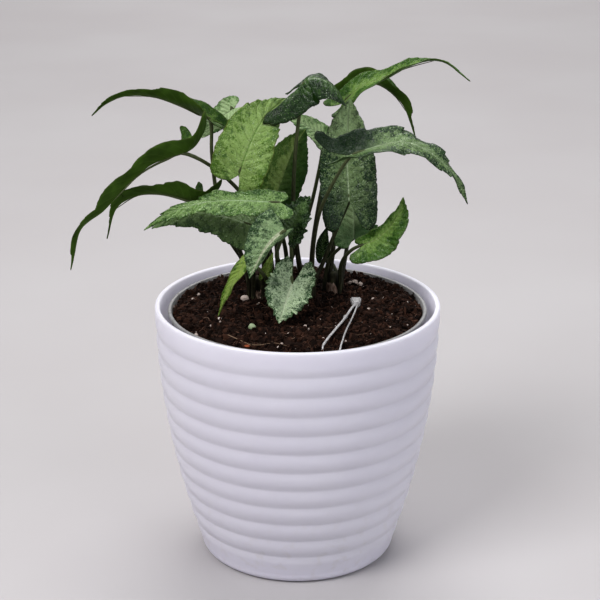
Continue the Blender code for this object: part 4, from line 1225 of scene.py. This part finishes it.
def nearVein(paint, look, share, out, wobble=0.0):
    # 1 on a side vein, 0 midway between two
    phase = share * look["veins"] - (out ** blade["veinCurve"]) * blade["veinSweep"] + wobble
    return abs((paint.maths("FRACT", phase) - 0.5) * 2)


def byHalf(values, left):
    # a pair's left number where left is 1 and its right one where it is 0
    return values[1] + (values[0] - values[1]) * left


def upperFinish(name, look, values, seed):
    # a pale middle that feathers out along the veins into deep green, mottled and speckled
    paint = Finish(name)
    spot = paint.place()
    share, across, out = bladeSockets(paint)
    cloud = paint.noise(spot, leafPattern["cloud"] + 5 * seed, 2.0)
    blotch = paint.noise(spot, leafPattern["blotch"], 3.0, 0.6)
    fine = paint.noise(spot, leafPattern["fine"], 3.0, 0.65)
    grain = paint.noise(spot, leafPattern["grain"], 1.0)
    net = paint.cells(spot, leafPattern["net"], "DISTANCE_TO_EDGE").rise(0.09, 0.0)
    near = nearVein(paint, look, share, out, (blotch - 0.5) * 0.5)
    settled = share.rise(0.05, 0.42)  # the veins stand out less where they meet at the stalk
    vein = near.rise(0.86, 1.0) * (1 - out * 0.6) * settled
    # deep or pale, by the distance from the midrib and three sizes of mottling
    core = look["reach"] - out + near * 0.12 + (cloud - 0.5) * 0.9 + (blotch - 0.5) * 1.8
    tone = core.rise(-0.26, 0.30) * 0.85 + (fine - 0.5) * 2.6 * look["speckle"]
    # painted light: the tip is lightened where it catches the light
    tone = tone + share.rise(0.55, 0.85) * values["tip"]
    tone = (tone + (grain - 0.5) * 1.6 * look["speckle"] + 0.08).rise(-0.05, 1.0)
    colour = paint.mix(tone, look["deep"], look["pale"])
    colour = paint.mix(net * 0.3 * blotch.rise(0.4, 0.6), colour, look["vein"])
    colour = paint.mix(vein * look["veinStrength"] * 0.6, colour, look["vein"])
    # more painted light on the tip, towards a pale green
    paintedLitTip = share.rise(0.60, 0.85) * values["tip"] * (1 - out * 0.7) * fine.rise(0.2, 0.6)
    colour = paint.mix(paintedLitTip, colour, [1.9 * part for part in look["vein"]])
    colour = paint.mix(out.rise(0.16, 0.04) * 0.35, colour, look["vein"])
    # dark patches, and the lobes or halves that lie in shade
    shade = [part * kept for part, kept in zip(look["deep"], leafPattern["shadeTint"])]
    patch = paint.noise(spot, leafPattern["patch"], 4.0, 0.7).rise(0.50, 0.64)
    colour = paint.mix(patch * 0.7 * out.rise(0.0, 0.4), colour, shade)
    left = across.rise(0.52, 0.48)
    lobes = share.rise(0.46, 0.30) * byHalf(values["dim"], left)
    dark = paint.maths("MAXIMUM", lobes, byHalf(values["shade"], left) * (0.6 + 0.8 * blotch))
    colour = paint.mix(dark, colour, shade)
    ribWidth = look.get("ribWidth", leafPattern["ribWidth"])
    colour = paint.mix(out.rise(ribWidth, 0.4 * ribWidth) * 0.8, colour, look["midrib"])
    colour = paint.mix(out.rise(0.95, 1.0) * 0.8, colour, look["margin"])
    # pale specks, which also stand in for glints as painted highlights
    specksAndGlints = paint.cells(spot, leafPattern["specksAndGlints"]).rise(0.26, 0.10) * cloud.rise(0.42, 0.58)
    colour = paint.mix(specksAndGlints * 0.5 * look["speckle"] * (1 - dark), colour, leafPattern["speckAndGlintColour"])
    height = fine * 0.5 - near * 0.5 * settled - vein * 0.4 - net * 0.25 - out.rise(0.08, 0.0) * 0.6
    paint.set(BaseColor=colour, Roughness=look["gloss"] + (blotch - 0.5) * 0.3,
              Normal=paint.bump(height, 0.8 * mm, 0.85), SpecularIORLevel=look["sheen"])
    return paint.material


def underFinish(name, look, seed):
    # smoother and duller, with raised veins and a painted highlight along the keel
    paint = Finish(name)
    spot = paint.place()
    share, _, out = bladeSockets(paint)
    fine = paint.noise(spot, leafPattern["underFine"], 2.0)
    cloud = paint.noise(spot, leafPattern["underCloud"] + 5 * seed, 2.0)
    vein = nearVein(paint, look, share, out).rise(0.84, 1.0) * (1 - out * 0.7)
    light = [0.55 * under + 0.45 * part for under, part in zip(look["under"], look["vein"])]
    colour = paint.mix(cloud.rise(0.35, 0.65), [0.62 * part for part in look["under"]], look["under"])
    colour = paint.mix(vein * 0.35, colour, light)
    # painted highlight: a broad lighter band along the keel
    colour = paint.mix(out.rise(0.55, 0.05) * 0.35, colour, light)
    colour = paint.mix(out.rise(0.08, 0.02) * 0.6, colour, light)
    colour = paint.mix(out.rise(0.95, 1.0) * 0.6, colour, look["margin"])
    height = vein * 0.7 + fine * 0.25 + out.rise(0.12, 0.0)
    paint.set(BaseColor=colour, Roughness=look["gloss"] + 0.10 + (fine - 0.5) * 0.15,
              Normal=paint.bump(height, 0.22 * mm, 0.6), SpecularIORLevel=0.1)
    return paint.material


def stalkFinish():
    # dark and brownish at the foot, green near the blade, with fine lengthwise streaks
    paint = Finish("stalk green")
    along, _, _ = bladeSockets(paint)
    streak = paint.noise(paint.stretched((1500, 1500, 120)), 1.0, 2.0)
    colour = paint.mix(along.rise(0.10, 0.85), stalk["lower"], stalk["upper"])
    colour = paint.mix(streak.rise(0.45, 0.75) * 0.4, colour, stalk["streak"])
    paint.set(BaseColor=colour, Roughness=0.42 + streak * 0.12, Normal=paint.bump(streak, 0.2 * mm, 0.5),
              SpecularIORLevel=0.2)
    return paint.material


stalkPaint = stalkFinish()
for index, (name, values) in enumerate(leafPlaces.items()):
    look = leafLooks[values["look"]]
    leafBlade = LeafBlade(values, 11.3 * index)
    shell = Shell()
    addBlade(shell, leafBlade)
    line, radii = stalkLine(values, leafBlade)
    addTube(shell, line, radii, stalk["sides"], 2, stalk["flatness"])
    finishes = [upperFinish(name + " upper side", look, values, index),
                underFinish(name + " under side", look, index), stalkPaint]
    made = shell.build(name + "_grown", finishes)
    hand(made, slots[name], name)
print("leaves grown:", len(leafPlaces))


# Stems with rings where old leaves grew, and dry papery sheaths round their feet.
bark = {
    "sides": 16, "rings": 30, "slimness": 0.92, "ringPitch": 5.2, "ringWidth": 0.55, "ringSwell": 0.10,
    "colours": ((0.018, 0.020, 0.010), (0.060, 0.060, 0.028)), "streak": (0.13, 0.095, 0.055),
}
papery = {
    "rows": 12, "columns": 14, "thickness": 0.22, "flare": 1.5, "ragged": 0.25, "narrowing": 0.75,
    "colours": ((0.150, 0.090, 0.065), (0.420, 0.310, 0.250)), "stain": (0.050, 0.030, 0.020),
}
# Each sheath's stem, height in mm, the way it faces, its radius in mm and how far round it goes.
sheaths = [
    ("middle", 9.0, 30, 3.6, 150), ("middle", 7.0, 200, 3.9, 120), ("right", 8.0, 250, 3.5, 140),
    ("back", 7.5, 290, 3.4, 130), ("left", 6.0, 280, 3.4, 120), ("front", 5.5, 320, 3.3, 110),
    ("right", 5.5, 60, 3.8, 100),
]


def stemFinish():
    paint = Finish("stem bark")
    streak = paint.noise(paint.stretched((900, 900, 160)), 1.0, 3.0)
    patch = paint.noise(paint.place(), 260.0, 3.0).rise(0.4, 0.65)
    colour = paint.mix(patch, *bark["colours"])
    colour = paint.mix(streak.rise(0.5, 0.8) * 0.5, colour, bark["streak"])
    paint.set(BaseColor=colour, Roughness=0.6 + streak * 0.2, Normal=paint.bump(streak, 0.4 * mm, 0.7))
    return paint.material


def sheathFinish():
    paint = Finish("dry sheath")
    streak = paint.noise(paint.stretched((1300, 1300, 130)), 1.0, 3.0)
    patch = paint.noise(paint.place(), 300.0, 3.0)
    colour = paint.mix(streak.rise(0.3, 0.7), *papery["colours"])
    colour = paint.mix(patch.rise(0.55, 0.75) * 0.6, colour, papery["stain"])
    paint.set(BaseColor=colour, Roughness=0.65, Normal=paint.bump(streak, 0.3 * mm, 0.8))
    return paint.material


def growStem(name, x, y, height, finish):
    shell = Shell()
    low = soil["edge"] - stalk["stemDepth"]
    top = soil["edge"] + height * mm
    line, radii = [], []
    for ring in range(bark["rings"] + 1):
        share = ring / bark["rings"]
        z = low + (top - low) * share
        node = swelling((z - soil["edge"]) / mm % bark["ringPitch"], bark["ringPitch"] / 2, bark["ringWidth"],
                        bark["ringSwell"])
        cap = math.sqrt(max(0.02, 1 - max(0, (share - 0.9) / 0.1) ** 2))
        radii.append(stalk["stemRadius"] * (bark["slimness"] + node) * cap)
        line.append(Vector((x * mm, y * mm, z)))
    addTube(shell, line, radii, bark["sides"], 0)
    made = shell.build("stem_" + name + "_grown", [finish])
    return hand(made, "stems", "stem_" + name)


def sheathPoint(index, row, column, skin):
    # a point of the curled sheath's outer or inner skin
    stemName, height, facing, radius, width = sheaths[index]
    (x, y), _ = stems[stemName]
    up = row / papery["rows"]
    side = column / papery["columns"] - 0.5
    ragged = 1 + papery["ragged"] * noise.noise(Vector((column * 0.7, index * 5.1, 0)))
    turn = math.radians(facing + width * side * (1 - papery["narrowing"] * up ** 1.6))
    crumple = papery["ragged"] * noise.noise(Vector((column, row, index)) * 0.8)
    reach = (radius - skin + papery["flare"] * up * up + crumple) * mm
    return Vector((x * mm + reach * math.cos(turn), y * mm + reach * math.sin(turn),
                   soil["edge"] - 1 * mm + (height + 1) * mm * up * ragged))


def growSheaths(finish):
    # open curled shells, thin and ragged at the top
    shell = Shell()
    rows, columns = papery["rows"], papery["columns"]
    wide = columns + 1
    each = (rows + 1) * wide
    corners = [(0, 0)] * 4
    rim = [(0, c) for c in range(columns)] + [(r, columns) for r in range(rows)]
    rim += [(rows, c) for c in range(columns, 0, -1)] + [(r, 0) for r in range(rows, 0, -1)]
    for index in range(len(sheaths)):
        start = len(shell.points)
        for skin in (0, papery["thickness"]):
            shell.points += [sheathPoint(index, row, column, skin) for row in range(rows + 1)
                             for column in range(wide)]
        for row in range(rows):
            for column in range(columns):
                a = start + row * wide + column
                ring = [a, a + 1, a + wide + 1, a + wide]
                shell.add(ring, 0, corners)
                shell.add([each + c for c in reversed(ring)], 0, corners)
        for (r, c), (s, d) in zip(rim, rim[1:] + rim[:1]):
            a, b = start + r * wide + c, start + s * wide + d
            shell.add([b, a, a + each, b + each], 0, corners)
    made = outwards(shell.build("dry_sheaths", [finish]))
    return hand(made, "stems")


stemPaint = stemFinish()
for name, ((x, y), height) in stems.items():
    growStem(name, x, y, height, stemPaint)
growSheaths(sheathFinish())
print("stems grown")


# The clear loop fastener on the soil: head, bead, a ribbed leg and a plain one.
tag = {
    "head": (28.7, -2.5), "headSize": (5.6, 8.0, 2.8), "headHeight": 2.0 * mm, "headNarrowing": 0.62,
    "bevel": 0.55 * mm, "socketRadii": (1.25 * mm, 1.05 * mm), "socketLength": 2.5 * mm,
    "bead": (23, -21.3), "beadRadius": 1.1 * mm, "beadHeight": 1.8 * mm,
    "route": ((27.5, -6.5), (23, -21.3), (17, -42), (13.0, -53), (11.6, -58.2), (15.2, -59.2),
              (19.4, -57.4), (20.4, -53.5), (24.4, -32), (29.2, -6.5)),
    "lineHeight": 1.7 * mm, "buriedFrom": -56.5, "slope": 1.6,  # the closed end dips into the soil
    "radius": 0.46 * mm, "sides": 10, "steps": 120,
    "ribRadius": 0.66 * mm, "ribPitch": 1.0 * mm, "ribFlatness": 0.55, "ribbedShare": 0.46,
    "colours": ((0.50, 0.49, 0.49), (0.78, 0.77, 0.78)),
}


def onSoil(x, y, above):
    return Vector((x * mm, y * mm, soilHeight(x * mm, y * mm) + soil["gap"] + above))


def ribTree():
    # small rings at an even pitch along a line
    inputs = {"Pitch": "Float", "Radius": "Float", "Finish": "Material"}
    tree, wiring, given = newGeometryTree("leg ribs", inputs)
    line = wiring.node("GeometryNodeMeshToCurve", None, {"Mesh": given["Geometry"]})
    points = wiring.node("GeometryNodeCurveToPoints", {"mode": "LENGTH"}, {
        "Curve": line, "Length": given["Pitch"]})
    turn = Wire(wiring, points.socket.node.outputs["Rotation"])
    bead = wiring.node("GeometryNodeMeshIcoSphere", None, {"Radius": 1.0, "Subdivisions": 2})
    scale = wiring.node("ShaderNodeCombineXYZ", None, {
        "X": given["Radius"], "Y": given["Radius"], "Z": given["Radius"] * tag["ribFlatness"]})
    placed = wiring.node("GeometryNodeInstanceOnPoints", None, {
        "Points": points, "Instance": bead, "Rotation": turn, "Scale": scale})
    smooth = wiring.node("GeometryNodeSetShadeSmooth", None, {"Geometry": placed})
    closeTree(wiring, smooth, given["Finish"])
    return tree


def clearFinish():
    # clear plastic that looks milky against the dark soil
    paint = Finish("clear fastener plastic")
    haze = paint.noise(paint.place(), 700.0, 3.0)
    colour = paint.mix(haze.rise(0.3, 0.7), *tag["colours"])
    paint.set(BaseColor=colour, Roughness=0.16 + haze * 0.15, Normal=paint.bump(haze, 0.2 * mm, 0.6),
              TransmissionWeight=0.35, CoatWeight=0.3)
    return paint.material


def fastenerHead():
    # a bevelled block that narrows towards the legs, with a socket
    shape = bmesh.new()
    bmesh.ops.create_cube(shape, size=1)
    wide, long, high = tag["headSize"]
    for vert in shape.verts:
        narrow = tag["headNarrowing"] if vert.co.y < 0 else 1.0
        vert.co = Vector((vert.co.x * wide * narrow, vert.co.y * long, vert.co.z * high)) * mm
    bmesh.ops.bevel(shape, geom=list(shape.edges), offset=tag["bevel"], segments=4, affect="EDGES")
    foot, top = tag["socketRadii"]
    bmesh.ops.create_cone(shape, cap_ends=True, segments=20, radius1=foot, radius2=top,
                          depth=tag["socketLength"])
    bmesh.ops.translate(shape, vec=onSoil(*tag["head"], tag["headHeight"]), verts=shape.verts)
    head = takenMesh(shape, "fastener head")
    head.set_sharp_from_angle(angle=math.radians(40))
    return head


def fastenerBead():
    shape = bmesh.new()
    bmesh.ops.create_icosphere(shape, subdivisions=3, radius=tag["beadRadius"])
    bmesh.ops.translate(shape, vec=onSoil(*tag["bead"], tag["beadHeight"]), verts=shape.verts)
    return takenMesh(shape, "fastener bead")


def tagPieces():
    finish = clearFinish()
    flat, _ = smoothLine([Vector((x, y, 0)) for x, y in tag["route"]], tag["steps"])
    dips = [min(0, tag["slope"] * (p.y - tag["buriedFrom"])) * mm for p in flat]
    line = [onSoil(p.x, p.y, tag["lineHeight"] + dip) for p, dip in zip(flat, dips)]
    shell = Shell()
    addTube(shell, line, [tag["radius"]] * len(line), tag["sides"], 0)
    loop = shell.build("loop_line", [finish])
    last = int(len(line) * tag["ribbedShare"])
    ribLine = meshObject("rib line", line[:last], [], [(i, i + 1) for i in range(last - 1)])
    values = {"Pitch": tag["ribPitch"], "Radius": tag["ribRadius"], "Finish": finish}
    ribs = growWith(ribLine, ribTree(), values, "leg_ribs")
    whole = joined("loop_fastener", [loop.data, fastenerHead(), fastenerBead(), ribs.data])
    whole.data.materials.append(finish)
    whole.data.polygons.foreach_set("material_index", [0] * len(whole.data.polygons))
    for old in (loop, ribs):
        bpy.data.objects.remove(old)
    return hand(whole, "clear_plastic", "tag_loop")


tagPieces()
print("fastener laid")


# Odd things on the soil: a green slow-release pellet, and a pale root with a rusty flake.
oddments = {
    "pellet": (-21.5, -33.7, 2.1), "flake": (-23.3, -54.2, 1.5),  # place and radius in mm
    "root": ((-34.5, -42.5), (-32.6, -42.2), (-30.6, -44.2), (-25.8, -49.0), (-21.4, -53.8)),
    "branch": ((-22.5, -53.0), (-17.3, -53.8), (-11.0, -52.5), (-5.0, -55.0)),
    "rootRadius": 0.28 * mm, "branchRadius": 0.2 * mm, "rootHeight": 0.7 * mm, "rootSteps": 40,
    "pelletColours": ((0.20, 0.27, 0.14), (0.42, 0.50, 0.34)),
    "rootColours": ((0.22, 0.15, 0.10), (0.40, 0.30, 0.21)),
    "flakeColours": ((0.25, 0.07, 0.03), (0.40, 0.14, 0.07)),
}


def pelletFinish():
    paint = Finish("green pellet")
    blush = paint.noise(paint.place(), 500.0, 3.0)
    paint.set(BaseColor=paint.mix(blush, *oddments["pelletColours"]), Roughness=0.5)
    return paint.material


def lyingBall(name, key, finish, seed, **shape):
    x, y, radius = oddments[key]
    ball = joined(name, [roughBall(key, x * mm, y * mm, radius * mm, seed, **shape)])
    ball.data.materials.append(finish)
    hand(ball, "soil")


def oddmentPieces():
    lyingBall("green_pellet", "pellet", pelletFinish(), 40.0, flatness=0.9, rough=0.2)
    rootPaint = shadedFinish("pale root", oddments["rootColours"], 0.6, 0.2 * mm)
    shell = Shell()
    steps = oddments["rootSteps"]
    for key, radius in (("root", oddments["rootRadius"]), ("branch", oddments["branchRadius"])):
        line, _ = smoothLine([onSoil(x, y, oddments["rootHeight"]) for x, y in oddments[key]], steps)
        addTube(shell, line, [radius * (1 - 0.5 * step / steps) for step in range(steps + 1)], 7, 0)
    hand(shell.build("pale_root", [rootPaint]), "soil")
    flakePaint = shadedFinish("rusty flake", oddments["flakeColours"], 0.6, 0.3 * mm)
    lyingBall("rusty_flake", "flake", flakePaint, 55.0, flatness=0.35)


oddmentPieces()

print("pieces done")
